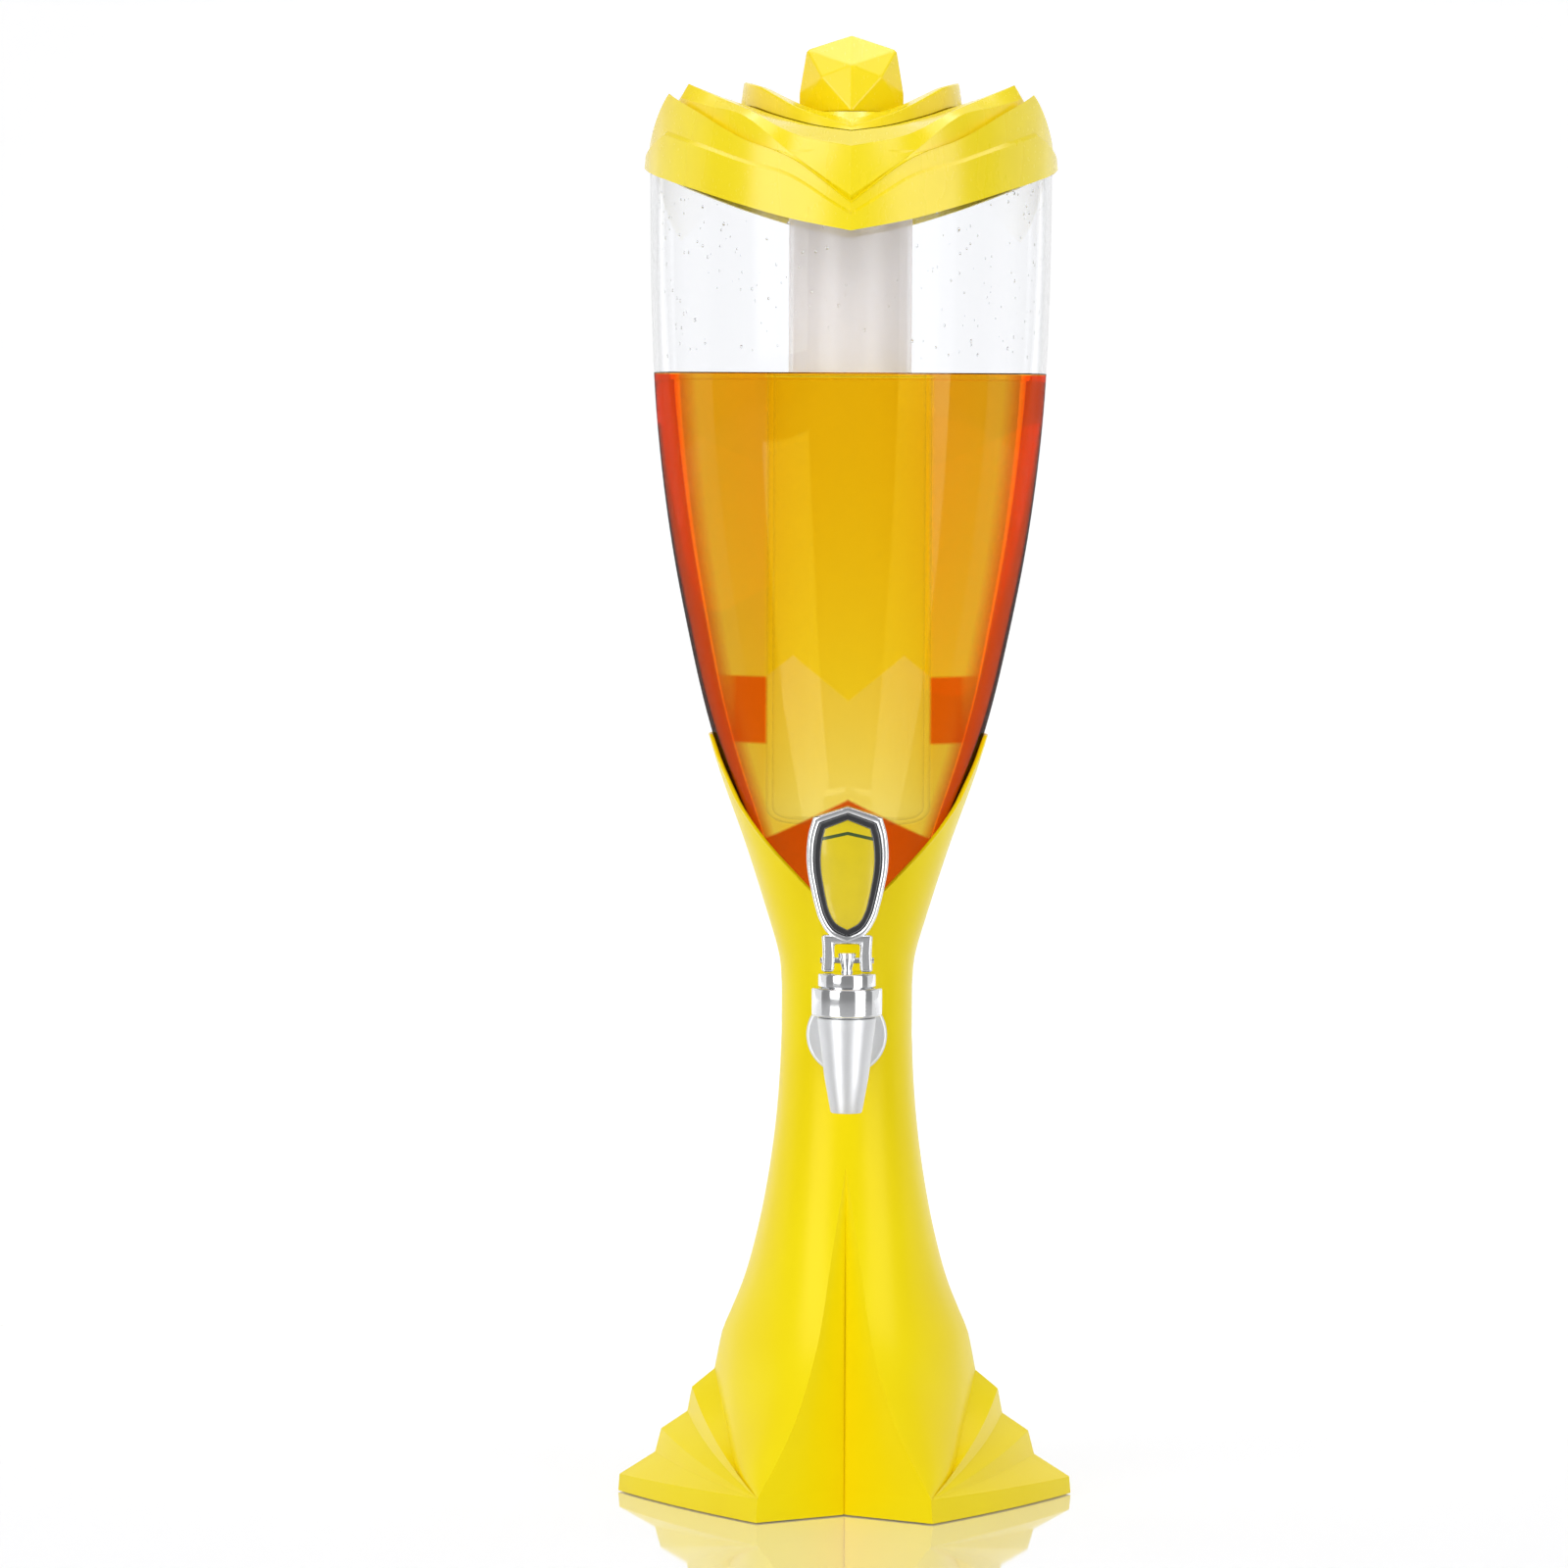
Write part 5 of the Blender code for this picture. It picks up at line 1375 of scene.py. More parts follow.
    def cup_rings(self, count: int = 28) -> Rings:
        """Rings of the cup's outer skin, its rounded rim and its inner skin.

        Args:
            count: Parts of each skin's height.

        Returns:
            Rings from the bowl up, over the rim and down.
        """
        turns = [math.pi / 2 * (1 - share) for share in steps(self.columns)]
        turns = [turns[0]] * 2 + turns
        tops = [self.notch_height(turn) for turn in turns]
        bottom = self.canister.bowl_z
        rims = [self.rim_drop(tops, turns, place) for place in range(len(turns))]

        def skin(share: float, radius: Course) -> list[Point]:
            """Ring of a skin at a share of its height."""
            heights = [blend(bottom, top - drop, share) for top, drop in zip(tops, rims)]
            return full_ring([around(turn, radius(z), z) for turn, z in zip(turns, heights)])

        rings = [skin(share, self.wide) for share in steps(count)]
        for share in steps(6)[1:-1]:
            sweep = math.pi * share
            row = []
            for turn, top, drop in zip(turns, tops, rims):
                half = self.wall_at(top) / 2
                radius = self.inside(top) + half + half * math.cos(sweep)
                row.append(around(turn, radius, top - drop * (1 - math.sin(sweep))))
            rings.append(full_ring(row))
        return rings + [skin(share, self.inside) for share in reversed(steps(count))]

    def rim_drop(self, tops: list[float], turns: list[float], place: int) -> float:
        """Height of the rim's rounding at a station, more where the edge is steep.

        Args:
            tops: Height of the edge at each station.
            turns: Angle of each station.
            place: Number of the station.

        Returns:
            Height of the rounding.
        """
        near, far = max(place - 1, 2), min(max(place, 2) + 1, len(turns) - 1)
        reach = abs(turns[near] - turns[far]) * self.wide(tops[place])
        slope = (tops[far] - tops[near]) / reach
        return self.wall_at(tops[place]) / 2 * min(math.hypot(1, slope), 3)

    def slitted(self, row: list[Point], depth: float) -> list[Point]:
        """Row with a narrow slit where it crosses the valley between the front lobes.

        Args:
            row: Quarter row that starts in the valley.
            depth: Full depth of the slit.

        Returns:
            Row with one more point.
        """
        fold, front = row[0], row[1]
        fade = min(front[0] / self.slit_fade, 1)
        share = min(self.slit / max(front[0], self.slit), 1) if front[0] else 0
        beside = tuple(blend(a, b, share) for a, b in zip(fold, front))
        return [(0, fold[1] + depth * fade, fold[2]), beside] + row[1:]

    def build(self) -> None:
        """Builds the stand as one closed shell."""
        hollow = self.foot_rows(self.grooves) + self.upper_rows(self.roof_z, 20)
        cavity = []
        for row in hollow:
            share = 1 - self.foot_wall / -row[0][1]
            cavity.append(full_ring([(x * share, y * share, z) for x, y, z in self.slitted(row, 0)]))
        spine = [self.grooves[0], self.grooves[1], self.crests[0], self.grooves[2], self.crests[1]]
        outer = self.foot_rows(spine) + self.upper_rows(self.canister.bowl_z, 40)[:-1]
        rings = [[(0, 0, self.roof_z)] * len(cavity[0])]
        skin = [full_ring(self.slitted(row, self.slit_depth)) for row in outer]
        rings += list(reversed(cavity)) + skin + self.cup_rings()
        seat = [(x, y, self.shelf_z) for x, y, z in rings[-1]]
        rings += [seat, [(0, 0, self.shelf_z)] * len(seat)]
        stand = Piece("stand_moulding").rows(rings)
        stand.dressed(YELLOW, Body.ROOT, Slot.YELLOW, "stand_shell", sharp=26)


def around(turn: float, radius: float, height: float) -> Point:
    """Point at an angle from the side towards the front."""
    return (radius * math.cos(turn), -radius * math.sin(turn), height)


# Lid, collar and knob

LID_ANGLES = (90.0, 74.0, 58.0, 42.0, 26.0, 0.0)


def lid_stations() -> list[float]:
    """Angles from the front to the side, with one at the lid's corner.

    Returns:
        Angles in degrees.
    """
    corner_turn, side = LID_ANGLES[-2], LID_ANGLES[-1]
    front = [blend(LID_ANGLES[0], corner_turn, share) for share in steps(32)]
    return front + [blend(corner_turn, side, share) for share in steps(14)[1:]]


def share_at(shares: Sequence[float], angle: float, corner_turn: float = LID_ANGLES[-2]) -> float:
    """Share at an angle on a smooth curve with a corner.

    Args:
        shares: Share at each of the lid's angles.
        angle: Angle in degrees.
        corner_turn: Angle of the corner.

    Returns:
        Share at the angle.
    """
    rows = sorted(zip(LID_ANGLES, shares))
    front = [row for row in rows if row[0] >= corner_turn]
    side = [row for row in rows if row[0] <= corner_turn]
    mirrored = [(-key, share) for key, share in reversed(side[1:])]
    return curve_at(front if angle >= corner_turn else mirrored + side, angle)


def lid_quarter(radius: Course, height: Course) -> list[Point]:
    """Quarter ring whose radius and height follow the angle in degrees."""
    return [around(math.radians(angle), radius(angle), height(angle)) for angle in lid_stations()]


def level_ring(radius: float, height: float) -> list[Point]:
    """Round level ring with the lid's stations."""
    return full_ring(lid_quarter(lambda _: radius, lambda _: height))


@dataclass
class Lid:
    """Lid over the canister's rim: banded skirt, raised leaves, crown and the well of the tube."""

    radius: float = 80.4 * MM
    keel_z: float = 492.7 * MM
    depth: float = 57.0 * MM
    wall: float = 2.4 * MM
    skirt_inner: float = 78.8 * MM
    seat_z: float = 523.3 * MM
    seat_share: float = 0.90
    well_floor_z: float = 526.0 * MM
    well_depth: float = 4.0 * MM
    well_radius: float = 31.0 * MM
    hole: float = 24.5 * MM
    collar_gap: float = 1.1 * MM
    gap: float = 0.3 * MM
    step: float = 1.3 * MM
    foot: Shares = ((1.024, 1.005, 1.003, 1.0, 0.998, 1.0), (0.0, 0.077, 0.179, 0.279, 0.358, 0.442))
    edge: Shares = ((1.026, 1.003, 1.0, 0.995, 0.986, 0.990), (0.181, 0.470, 0.619, 0.795, 0.932, 0.596))
    lip: Shares = ((1.015, 0.995, 0.983, 0.976, 0.965, 0.968),
                   (0.191, 0.479, 0.617, 0.786, 0.916, 0.588))
    groove: Shares = ((1.006, 0.986, 0.960, 0.945, 0.934, 0.946),
                      (0.205, 0.496, 0.574, 0.688, 0.770, 0.575))
    leaf: Shares = ((1.025, 0.986, 0.950, 0.918, 0.908, 0.908), (0.233, 0.500, 0.763, 0.840, 0.905, 0.628))
    crest: Shares = ((0.998, 0.952, 0.897, 0.856, 0.867, 0.858), (0.562, 0.640, 0.800, 0.905, 1.0, 0.707))
    crown: Shares = ((0.821, 0.808, 0.759, 0.709, 0.697, 0.697), (0.663, 0.707, 0.774, 0.856, 0.918, 0.847))
    step_shares: Sequence[float] = (0.57, 0.68, 0.64, 0.57, 0.52, 0.52)

    def height_at(self, shares: Sequence[float], angle: float) -> float:
        """Height at an angle from depth shares."""
        return self.keel_z + self.depth * share_at(shares, angle)

    def quarter(self, shares: Shares) -> list[Point]:
        """Quarter ring from radius and depth shares."""
        return lid_quarter(lambda angle: self.radius * share_at(shares[0], angle),
                           lambda angle: self.height_at(shares[1], angle))

    def ring(self, shares: Shares) -> list[Point]:
        """Full ring from radius and depth shares."""
        return full_ring(self.quarter(shares))

    def between(self, low: list[Point], high: list[Point], share: float) -> list[Point]:
        """Ring between two rings."""
        return [tuple(blend(a, b, share) for a, b in zip(start, end)) for start, end in zip(low, high)]

    def under(self, shares: Shares, draw_in: float) -> list[Point]:
        """Ring a wall below one of the outer rings and no lower than the seat.

        Args:
            shares: Radius and depth shares of the outer ring.
            draw_in: Distance towards the axis.

        Returns:
            Points of the ring.
        """
        widest = self.radius * self.seat_share
        return full_ring(lid_quarter(
            lambda angle: min(self.radius * share_at(shares[0], angle) - draw_in, widest),
            lambda angle: max(self.height_at(shares[1], angle) - self.wall, self.seat_z)))

    def band(self) -> Rings:
        """Rings of the skirt's band with its step line and its softened edge.

        Returns:
            Rings from the skirt's foot up.
        """
        foot, edge = self.quarter(self.foot), self.quarter(self.edge)
        line = []
        for angle, low, high in zip(lid_stations(), foot, edge):
            share = share_at(self.step_shares, angle)
            line.append(tuple(blend(a, b, share) for a, b in zip(low, high)))
        pulled = [self.pulled(point, self.step) for point in line]
        above = [(x, y, z + self.step) for x, y, z in pulled]
        top = [self.pulled(point, self.step) for point in edge]
        return [full_ring(points) for points in (foot, line, above, top)]

    @staticmethod
    def pulled(point: Point, draw_in: float) -> Point:
        """Point moved towards the axis."""
        share = 1 - draw_in / math.hypot(point[0], point[1])
        return (point[0] * share, point[1] * share, point[2])

    def build(self) -> None:
        """Builds the lid."""
        well_outer = self.well_radius + self.wall
        well_top = self.well_floor_z + self.well_depth
        under_well = self.well_floor_z - self.wall
        rings = self.band() + [self.ring(shares) for shares in (self.lip, self.groove)]
        leaf, crest, crown = (self.ring(shares) for shares in (self.leaf, self.crest, self.crown))
        rings += [leaf, self.between(leaf, crest, 0.5), crest, self.between(crest, crown, 0.5), crown]
        collar = Collar()
        rings.append(collar.ring(-self.collar_gap, collar.foot, -self.gap))
        rings += [
            level_ring(well_outer, well_top),
            level_ring(self.well_radius, well_top),
            level_ring(self.well_radius, self.well_floor_z),
            level_ring(self.hole, self.well_floor_z),
            level_ring(self.hole, under_well),
            level_ring(well_outer, under_well),
            level_ring(well_outer, well_top - self.wall),
            collar.ring(-self.collar_gap, collar.foot, -self.gap - self.wall),
            self.under(self.crown, 0.0),
            self.under(self.crest, self.wall),
            level_ring(self.radius * self.seat_share, self.seat_z),
            level_ring(self.skirt_inner, self.seat_z),
            full_ring(lid_quarter(lambda _: self.skirt_inner,
                                  lambda angle: self.height_at(self.foot[1], angle))),
        ]
        piece = Piece("lid_moulding").rows(rings, closed=True)
        piece.dressed(LID_YELLOW, Body.LID, Slot.YELLOW, "lid", sharp=10)


@dataclass
class Collar:
    """Collar with a V-shaped front whose plug closes the ice tube."""

    side_radius: float = 43.0 * MM
    bottom_z: float = 531.6 * MM
    height: float = 18.6 * MM
    wall: float = 2.2 * MM
    lip: float = 4.4 * MM
    lean: float = 1.2 * MM
    lip_drop: float = 0.8 * MM
    lip_share: float = 0.35
    plug: float = 21.6 * MM
    plug_wall: float = 4.0 * MM
    plug_depth: float = 12.6 * MM
    roof_rise: float = 3.9 * MM
    seat_rise: float = 8.1 * MM
    seat: float = 21.8 * MM
    basin: float = 3.0 * MM
    basin_share: float = 0.45
    screw_hole: float = 2.1 * MM
    well_outer: float = 33.4 * MM
    plan: Sequence[float] = (1.14, 1.075, 1.007, 0.965, 0.972, 1.0)
    foot: Sequence[float] = (0.0, 0.105, 0.250, 0.390, 0.532, 0.613)
    edge: Sequence[float] = (0.095, 0.300, 0.525, 0.760, 0.962, 1.069)

    def height_at(self, shares: Sequence[float], angle: float) -> float:
        """Height at an angle from height shares."""
        return self.bottom_z + self.height * share_at(shares, angle, 0.0)

    def ring(self, draw_in: float, shares: Sequence[float], rise: float = 0.0) -> list[Point]:
        """Ring on the collar's plan, drawn in, at its height shares.

        Args:
            draw_in: Distance towards the axis.
            shares: Height share at each angle.
            rise: Height added.

        Returns:
            Points of the ring.
        """
        return full_ring(lid_quarter(
            lambda angle: self.side_radius * share_at(self.plan, angle, 0.0) - draw_in,
            lambda angle: self.height_at(shares, angle) + rise))

    def basin_ring(self) -> list[Point]:
        """Ring at the foot of the collar's hollow top.

        Returns:
            Points of the ring.
        """
        low = self.bottom_z + self.seat_rise
        return full_ring(lid_quarter(
            lambda _: self.seat + self.basin,
            lambda angle: blend(low, self.height_at(self.edge, angle) - self.lip_drop,
                                self.basin_share)))

    def build(self) -> None:
        """Builds the collar."""
        roof, seat = self.bottom_z + self.roof_rise, self.bottom_z + self.seat_rise
        inner = self.plug - self.plug_wall
        foot = self.bottom_z - self.plug_depth
        edge = self.lean + self.lip
        rings = [
            level_ring(self.screw_hole, roof), level_ring(inner, roof), level_ring(inner, foot),
            level_ring(self.plug, foot), level_ring(self.plug, self.bottom_z),
            level_ring(self.well_outer, self.bottom_z),
            self.ring(self.wall, self.foot), self.ring(0.0, self.foot),
            self.ring(self.lean * 0.95, self.edge, -0.7 * MM),
            self.ring(self.lean + 0.2 * MM, self.edge, -0.2 * MM),
            self.ring(self.lean + 0.7 * MM, self.edge),
            self.ring(blend(self.lean, edge, self.lip_share), self.edge, -0.1 * MM),
            self.ring(edge, self.edge, -self.lip_drop),
            self.basin_ring(), level_ring(self.seat, seat), level_ring(self.screw_hole, seat),
        ]
        piece = Piece("collar_moulding").rows(rings, closed=True)
        piece.dressed(LID_YELLOW, Body.COLLAR, Slot.YELLOW, "ice_collar", sharp=12)


@dataclass
class Knob:
    """Faceted knob on the collar."""

    bottom_z: float = 540.0 * MM
    height: float = 30.0 * MM
    half_width: float = 20.4 * MM
    half_depth: float = 20.0 * MM
    bevel: float = 0.55 * MM
    shares: Shares = (
        (0.0, 0.0, 1.0), (0.86, 0.0, 0.81), (1.0, 0.0, 0.24), (1.0, 0.0, 0.0), (0.0, 0.65, 0.60),
        (0.58, 0.56, 0.45), (0.0, 1.0, 0.0), (0.52, 0.52, 0.0),
    )

    def build(self) -> None:
        """Builds the knob."""
        piece = Piece("knob_moulding")
        for side, depth, height in self.shares:
            for right in (-1, 1):
                for back in (-1, 1):
                    x, y = right * side * self.half_width, back * depth * self.half_depth
                    piece.bm.verts.new((x, y, self.bottom_z + height * self.height))
        bmesh.ops.remove_doubles(piece.bm, verts=piece.bm.verts, dist=1e-5)
        hull = bmesh.ops.convex_hull(piece.bm, input=piece.bm.verts)
        loose = [item for item in hull["geom_interior"] + hull["geom_unused"] if item.is_valid]
        bmesh.ops.delete(piece.bm, geom=loose, context="VERTS")
        piece.dressed(LID_YELLOW, Body.COLLAR, Slot.YELLOW, "cap_knob", sharp=5, bevel=self.bevel)


# Tap


@dataclass
class Tap:
    """Tap's fixed pieces: body with spout and arm, flange, bonnet nut and bonnet; the return spring stays
    as its CAD node.
    """

    depth: float = 52.0 * MM
    shank_z: float = 183.0 * MM
    spout_z: float = 154.8 * MM
    spout: float = 6.0 * MM
    bore: float = 4.2 * MM
    shoulder_z: float = 191.6 * MM
    body: float = 11.3 * MM
    middle: float = 8.5 * MM
    middle_z: float = 168.5 * MM
    thread: float = 9.5 * MM
    top_z: float = 200.0 * MM
    chamber: float = 7.5 * MM
    chamber_z: float = 167.5 * MM
    arm: float = 8.6 * MM
    arm_face: float = 31.7 * MM
    flange: float = 15.6 * MM
    flange_near: float = 31.4 * MM
    flange_far: float = 28.4 * MM
    hole: float = 6.6 * MM
    nut: float = 13.6 * MM
    nut_low: float = 192.2 * MM
    nut_high: float = 203.2 * MM
    bonnet: float = 11.1 * MM
    bonnet_z: float = 208.7 * MM
    bonnet_bore: float = 2.6 * MM
    bonnet_foot: float = 9.6 * MM
    gap: float = 0.3 * MM

    def place(self) -> Point:
        """Foot of the tap's upright axis."""
        return (0, -self.depth, 0)

    def build_body(self) -> None:
        """Body with its cone spout, chamber and arm."""
        profile = [(self.thread, self.top_z), (self.thread, self.shoulder_z)]
        profile += [(self.body - 0.6 * MM, self.shoulder_z),
                    (self.body - 0.15 * MM, self.shoulder_z - 0.2 * MM)]
        profile += [(self.body, self.shoulder_z - 0.8 * MM), (self.middle, self.middle_z)]
        profile.append((self.spout + 0.12 * MM, self.spout_z + 0.5 * MM))
        profile += [(self.spout - 0.25 * MM, self.spout_z), (self.bore + 0.3 * MM, self.spout_z)]
        profile += [(self.bore, self.spout_z + 0.4 * MM), (self.bore, self.chamber_z - 0.6 * MM)]
        profile += [(self.chamber, self.chamber_z), (self.chamber, self.top_z)]
        piece = Piece("tap_casting").turned(profile, 96, closed=True, place=self.place())
        root = self.depth - self.chamber - 0.4 * MM
        arm = [(0, root), (self.arm, root)]
        arm += [(self.arm, self.arm_face + 0.6 * MM), (self.arm - 0.6 * MM, self.arm_face)]
        arm += [(self.hole, self.arm_face), (self.hole, self.arm_face + 6 * MM),
                (0, self.arm_face + 6 * MM)]
        piece.turned(arm, 64, place=(0, 0, self.shank_z), flat=True)
        piece.dressed(SATIN, Body.ROOT, Slot.CHROME, "tap_body", sharp=40)

    def build_flange(self) -> None:
        """Round flange behind the body."""
        edge = 1.1 * MM
        face = [(self.hole, self.flange_near), (self.flange - 2 * edge, self.flange_near)]
        face += quarter_round(self.flange, self.flange_near, edge, 6)
        face += [(self.flange, self.flange_far + 0.3 * MM), (self.flange - 0.3 * MM, self.flange_far)]
        face.append((self.hole, self.flange_far))
        piece = Piece("flange_disc").turned(face, 96, closed=True, place=(0, 0, self.shank_z), flat=True)
        piece.dressed(SATIN, Body.ROOT, Slot.CHROME, "tap_flange", sharp=40)

    def build_nut(self) -> None:
        """Bonnet nut with softened rims."""
        inner, edge = self.thread + 0.4 * MM, 1.0 * MM
        profile = [(inner, self.nut_high)] + quarter_round(self.nut, self.nut_high, edge, 5)
        profile += quarter_round(self.nut, self.nut_low, edge, 5, 1)[::-1] + [(inner, self.nut_low)]
        piece = Piece("nut_ring").turned(profile, 96, closed=True, place=self.place())
        piece.dressed(CHROME, Body.ROOT, Slot.CHROME, "bonnet_nut", sharp=40)

    def build_bonnet(self) -> None:
        """Bonnet over the nut."""
        seat, edge = self.nut_high + self.gap, 0.9 * MM
        profile = [(self.bonnet_bore, self.bonnet_z)]
        profile += quarter_round(self.bonnet, self.bonnet_z, edge, 5)
        profile += [(self.bonnet, seat + 0.3 * MM), (self.bonnet - 0.3 * MM, seat)]
        profile += [(self.bonnet_foot, seat), (self.bonnet_foot, self.top_z + self.gap)]
        profile.append((self.bonnet_bore, self.top_z + self.gap))
        piece = Piece("bonnet_cap").turned(profile, 96, closed=True, place=self.place())
        piece.dressed(CHROME, Body.ROOT, Slot.CHROME, "bonnet", sharp=40)

    def build(self) -> None:
        """Builds the tap's fixed pieces."""
        self.build_body()
        self.build_flange()
        self.build_nut()
        self.build_bonnet()


@dataclass
class Stem:
    """Valve stem with its flared head, which shows between the fork's legs."""

    depth: float = 52.0 * MM
    radius: float = 2.2 * MM
    foot: float = 3.4 * MM
    head: float = 3.6 * MM
    head_foot: float = 1.9 * MM
    head_top_z: float = 216.4 * MM
    head_z: float = 210.1 * MM
    neck_z: float = 209.3 * MM
    collar_z: float = 173.7 * MM
    collar_height: float = 1.2 * MM
    cup_z: float = 167.5 * MM
    foot_z: float = 165.9 * MM

    def build(self) -> None:
        """Builds the stem."""
        edge = 0.4 * MM
        profile = [(0, self.head_top_z), (self.head - edge, self.head_top_z)]
        profile += [(self.head, self.head_top_z - edge), (self.head_foot, self.head_z)]
        profile += [(self.radius, self.neck_z), (self.radius, self.collar_z + self.collar_height)]
        profile += [(self.foot, self.collar_z + self.collar_height), (self.foot, self.collar_z)]
        profile += [(self.radius, self.collar_z), (self.radius, self.cup_z), (self.foot, self.cup_z)]
        profile += [(self.foot, self.foot_z), (0, self.foot_z)]
        piece = Piece("stem_rod").turned(profile, 48, place=(0, -self.depth, 0))
        piece.dressed(CHROME, Body.STEM, Slot.STEEL, "valve_stem", sharp=35)


@dataclass
class Lever:
    """Tap's lever: fork on the stem's pin, shield with a rounded rim, bezel and plate."""

    depth: float = 52.0 * MM
    outer: float = 9.9 * MM
    inner: float = 5.0 * MM
    foot_z: float = 209.1 * MM
    roof_z: float = 219.8 * MM
    top_z: float = 223.4 * MM
    waist: float = 0.45 * MM
    fork_depth: float = 5.6 * MM
    fork_edge: float = 1.3 * MM
    bottom_z: float = 219.9 * MM
    height: float = 53.1 * MM
    half_width: float = 15.75 * MM
    thickness: float = 6.0 * MM
    rim: float = 2.9 * MM
    crown: float = 1.2 * MM
    recess: float = 2.4 * MM
    bezel: float = 1.9 * MM
    bezel_depth: float = 1.9 * MM
    badge_depth: float = 1.4 * MM
    gap: float = 0.3 * MM
    shares: Shares = (
        (0.0, 1.0), (0.42, 0.956), (0.838, 0.919), (0.955, 0.80), (1.0, 0.66), (0.975, 0.53),
        (0.895, 0.405), (0.795, 0.28), (0.667, 0.165), (0.40, 0.055), (0.0, 0.0),
    )

    def outline(self, inset: float = 0.0) -> list[tuple[float, float]]:
        """Shield's outline, drawn in all round, with soft sides and crisp corners.

        Args:
            inset: Distance drawn in.

        Returns:
            Side and height of each point.
        """
        wide = (self.half_width - inset) / self.half_width
        tall = (self.height - 2 * inset) / self.height
        rows = self.smoothed()
        right = []
        for side, rise in rows:
            right.append((self.half_width * side * wide, self.bottom_z + inset + self.height * rise * tall))
        return right + [(-x, z) for x, z in reversed(right[1:-1])]

    def smoothed(self) -> list[tuple[float, float]]:
        """Right edge's shares with the long side drawn as a smooth curve.

        Returns:
            Side and height share of each point.
        """
        tip, crown = self.shares[0], self.shares[2]
        side = sorted((rise, across) for across, rise in self.shares[2:])
        low, high = side[0][0], side[-1][0]
        top = [(blend(tip[0], crown[0], s), blend(tip[1], crown[1], s)) for s in steps(6)[:-1]]
        curve = []
        for share in steps(44):
            rise = blend(high, low, share ** 0.85)
            curve.append((curve_at(side, rise), rise))
        return top + curve

    def build_fork(self) -> None:
        """Fork whose legs are a little narrower at their middle."""
        legs = [(self.outer, self.foot_z)]
        for share in steps(8):
            z = blend(self.foot_z, self.top_z, share)
            legs.append((self.outer - self.waist * math.sin(math.pi * share), z))
        right = legs[1:]
        left = [(-x, z) for x, z in reversed(right)]
        inside = []
        for share in steps(8):
            z = blend(self.foot_z, self.roof_z, share)
            bow = 0.5 * self.waist * math.sin(math.pi * share)
            inside.append((-(self.inner - bow), z))
        inside_right = [(-x, z) for x, z in reversed(inside)]
        outline = right + left + inside + inside_right
        near, far = self.depth + self.fork_depth / 2, self.depth - self.fork_depth / 2
        piece = Piece("fork_casting").plate([(outline, near), (outline, far)])
        piece.dressed(SILVER, Body.LEVER, Slot.CHROME, "lever_fork", sharp=30, bevel=self.fork_edge)

    def build_shield(self) -> None:
        """Shield with a half-round rim and a recess for the bezel."""
        near, far = self.depth + self.thickness / 2, self.depth - self.thickness / 2
        outlines = [(self.outline(self.rim), near - self.recess)]
        for share in steps(8):
            turn = math.pi * share
            inset = self.rim / 2 * (1 + math.cos(turn))
            outlines.append((self.outline(inset), near - self.crown * (1 - math.sin(turn))))
        outlines += [(self.outline(), far + 0.9 * MM), (self.outline(0.25 * MM), far + 0.25 * MM)]
        outlines.append((self.outline(0.9 * MM), far))
        piece = Piece("shield_casting").plate(outlines)
        piece.dressed(SILVER, Body.LEVER, Slot.CHROME, "lever_shield", sharp=35)

    def build_bezel(self) -> None:
        """Dark bezel round the plate."""
        floor = self.depth + self.thickness / 2 - self.recess + self.gap
        top = floor + self.bezel_depth
        outer, inner = self.rim + self.gap, self.rim + self.gap + self.bezel
        soft = 0.35 * MM
        outlines = [(self.outline(inner), floor), (self.outline(inner), top - soft)]
        outlines += [(self.outline(inner - soft), top), (self.outline(outer + soft), top)]
        outlines += [(self.outline(outer), top - soft), (self.outline(outer), floor)]
        piece = Piece("bezel_frame").plate(outlines, closed=True)
        piece.dressed(DARK, Body.LEVER, Slot.BEZEL, "lever_bezel", sharp=30)

    def build_badge(self) -> None:
        """Plain plate with soft edges."""
        floor = self.depth + self.thickness / 2 - self.recess + self.gap
        top = floor + self.badge_depth
        edge = self.rim + 2 * self.gap + self.bezel
        soft = 0.3 * MM
        outlines = [(self.outline(edge), floor), (self.outline(edge), top - soft)]
        outlines += [(self.outline(edge + soft * 0.35), top - soft * 0.35),
                     (self.outline(edge + soft), top)]
        piece = Piece("badge_face").plate(outlines)
        piece.dressed(BADGE, Body.LEVER, Slot.BADGE, "badge_plate", sharp=50)

    def build(self) -> None:
        """Builds the lever's pieces."""
        self.build_fork()
        self.build_shield()
        self.build_bezel()
        self.build_badge()


# Plain pieces, room and camera


HIDDEN = {
    YELLOW: ("base_plate",),
    STEEL: ("base_screw_1", "base_screw_2", "base_screw_3", "base_screw_4", "knob_screw", "shank_nut",
            "return_spring"),
    CHROME: ("shank", "pivot_pin"),
    RUBBER: ("rubber_foot_1", "rubber_foot_2", "rubber_foot_3", "rubber_foot_4", "canister_seat",
             "lid_seal", "tube_seal", "collar_seal", "outer_gasket", "inner_gasket", "seat_cup"),
}


def dress_plain_nodes() -> None:
    """Gives each carried-over node its own finish."""
    for finish, names in HIDDEN.items():
        for name in names:
            item = bpy.data.objects[name]
            item.data.materials.clear()
            item.data.materials.append(finish.material())
            LOG.info("%s wears %s", name, finish.name)


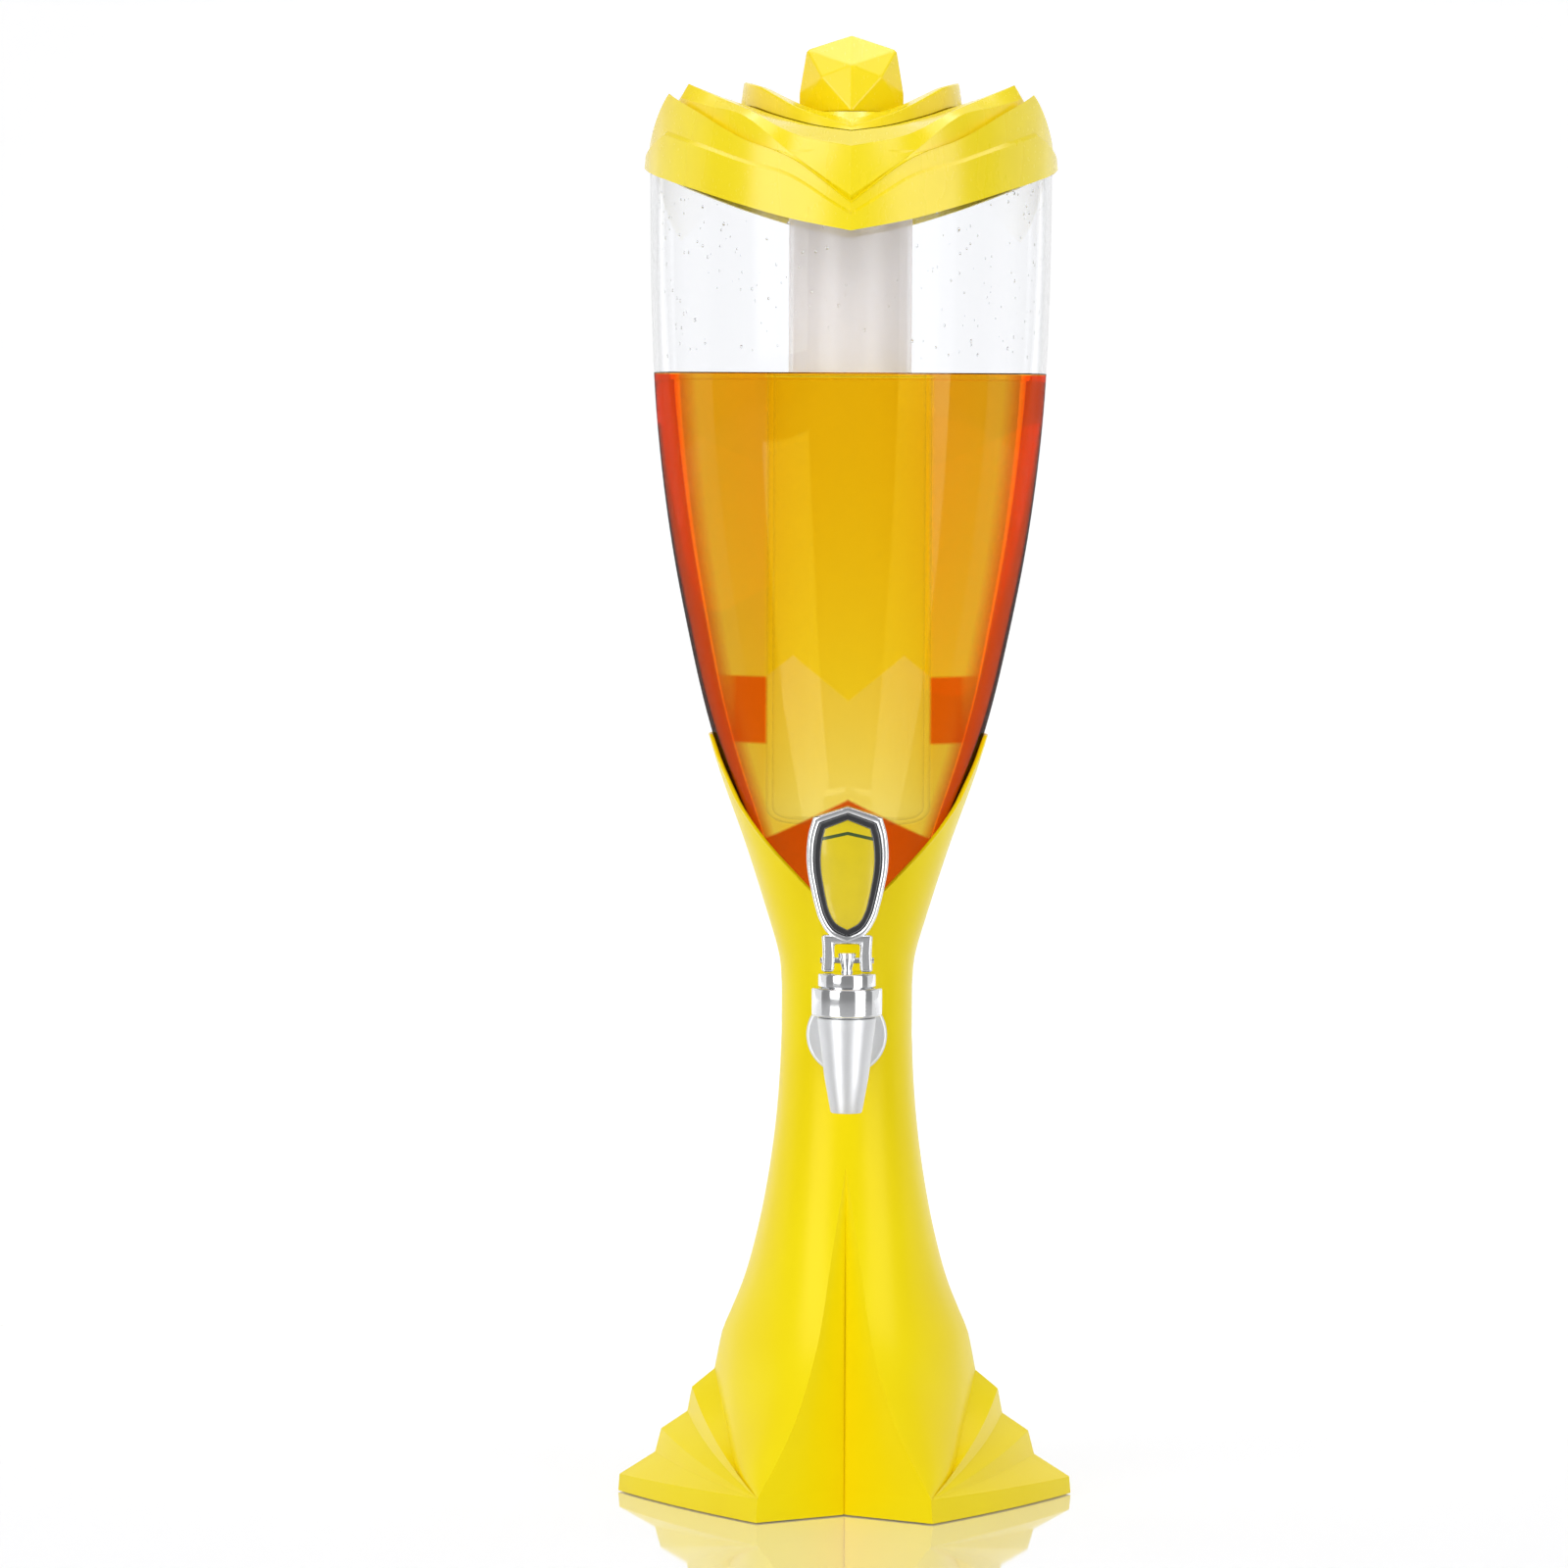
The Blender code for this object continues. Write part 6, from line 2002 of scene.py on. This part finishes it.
@dataclass
class Studio:
    """Pale room with soft lights and the photograph's camera."""

    camera_place: Point = (0.0, -2.938, 0.4385)
    lens: float = 172.9
    sensor: float = 36.0
    pitch: float = math.radians(3.119)
    pan: float = math.radians(0.502)
    roll: float = math.radians(-0.27)
    floor_half: float = 3.2
    front: float = 4.5
    back: float = 4.2
    sweep: float = 2.2
    rise: float = 4.6
    sink: float = 0.0002
    clip: Sequence[float] = (0.05, 30.0)
    daylight: float = 0.27
    middle: Point = (0.0, 0.0, 0.3)
    backdrop: Point = (0.0, 4.2, 0.9)
    lamps: Sequence[tuple] = (
        ("key", (-1.75, -2.1, 1.3), (1.7, 2.4), 39), ("fill", (1.9, -1.9, 0.9), (1.7, 2.2), 27),
        ("top", (0, 0.1, 2.2), (1.8, 1.6), 16), ("wall", (0, 0.9, 3.2), (3.4, 1.0), 34),
        ("rim_left", (-2.35, 1.15, 0.8), (2.7, 2.0), 10), ("rim_right", (2.35, 1.15, 0.8), (2.7, 2.0), 9),
    )

    def build_room(self) -> None:
        """Floor that curves up into a backdrop."""
        bm = bmesh.new()
        start = self.back - self.sweep
        profile = [(-self.front, 0.0), (start, 0.0)]
        for share in steps(24)[1:]:
            turn = share * math.pi / 2
            profile.append((start + self.sweep * math.sin(turn), self.sweep * (1 - math.cos(turn))))
        profile.append((self.back, self.rise))
        rows = [[bm.verts.new((x, y, z - self.sink)) for y, z in profile]
                for x in (-self.floor_half, self.floor_half)]
        for i in range(len(profile) - 1):
            bm.faces.new((rows[0][i], rows[1][i], rows[1][i + 1], rows[0][i + 1]))
        mesh = bpy.data.meshes.new("room")
        bm.to_mesh(mesh)
        bm.free()
        mesh.shade_smooth()
        mesh.materials.append(FLOOR.material())
        room = linked("room", mesh)

    def light(self, name: str, place: Point, target: Point, size: Sequence[float], power: float) -> None:
        """Adds a soft rectangular light.

        Args:
            name: Name of the light.
            place: Its middle.
            target: Point that it faces.
            size: Width and height.
            power: Power in watts.
        """
        data = bpy.data.lights.new(name, "AREA")
        data.shape = "RECTANGLE"
        data.size, data.size_y = size
        data.energy = power
        item = linked(name, data)
        item.location = place
        item.rotation_euler = (Vector(target) - Vector(place)).to_track_quat("-Z", "Y").to_euler()

    def build_lights(self) -> None:
        """Key from the left, fill from the right, top, backdrop and rim lights, and a pale world."""
        for name, place, size, power in self.lamps:
            target = self.backdrop if name == "wall" else self.middle
            self.light(name, place, target, size, power)
        world = bpy.data.worlds.new("white_room")
        bpy.context.scene.world = world
        world.use_nodes = True
        inputs = world.node_tree.nodes["Background"].inputs
        inputs["Color"].default_value = (1, 1, 1, 1)
        inputs["Strength"].default_value = self.daylight

    def build_camera(self) -> None:
        """Camera at the photograph's angle."""
        data = bpy.data.cameras.new("photo_camera")
        data.lens, data.sensor_width = self.lens, self.sensor
        data.clip_start, data.clip_end = self.clip
        item = linked("photo_camera", data)
        item.location = self.camera_place
        item.rotation_euler = (math.pi / 2 - self.pitch, self.roll, self.pan)
        bpy.context.scene.camera = item

    def build(self) -> None:
        """Builds the room, lights and camera, and shows colours without a film curve."""
        self.build_room()
        self.build_lights()
        self.build_camera()
        bpy.context.scene.view_settings.view_transform = "Standard"


def main() -> None:
    """Builds the dressed dispenser."""
    logging.basicConfig(level=logging.INFO)
    canister = Canister()
    for part in (canister, IceTube(), Stand(canister), Lid(), Collar(), Knob(), Tap(), Stem(), Lever()):
        part.build()
    dress_plain_nodes()
    Studio().build()


if __name__ == "__main__":
    main()
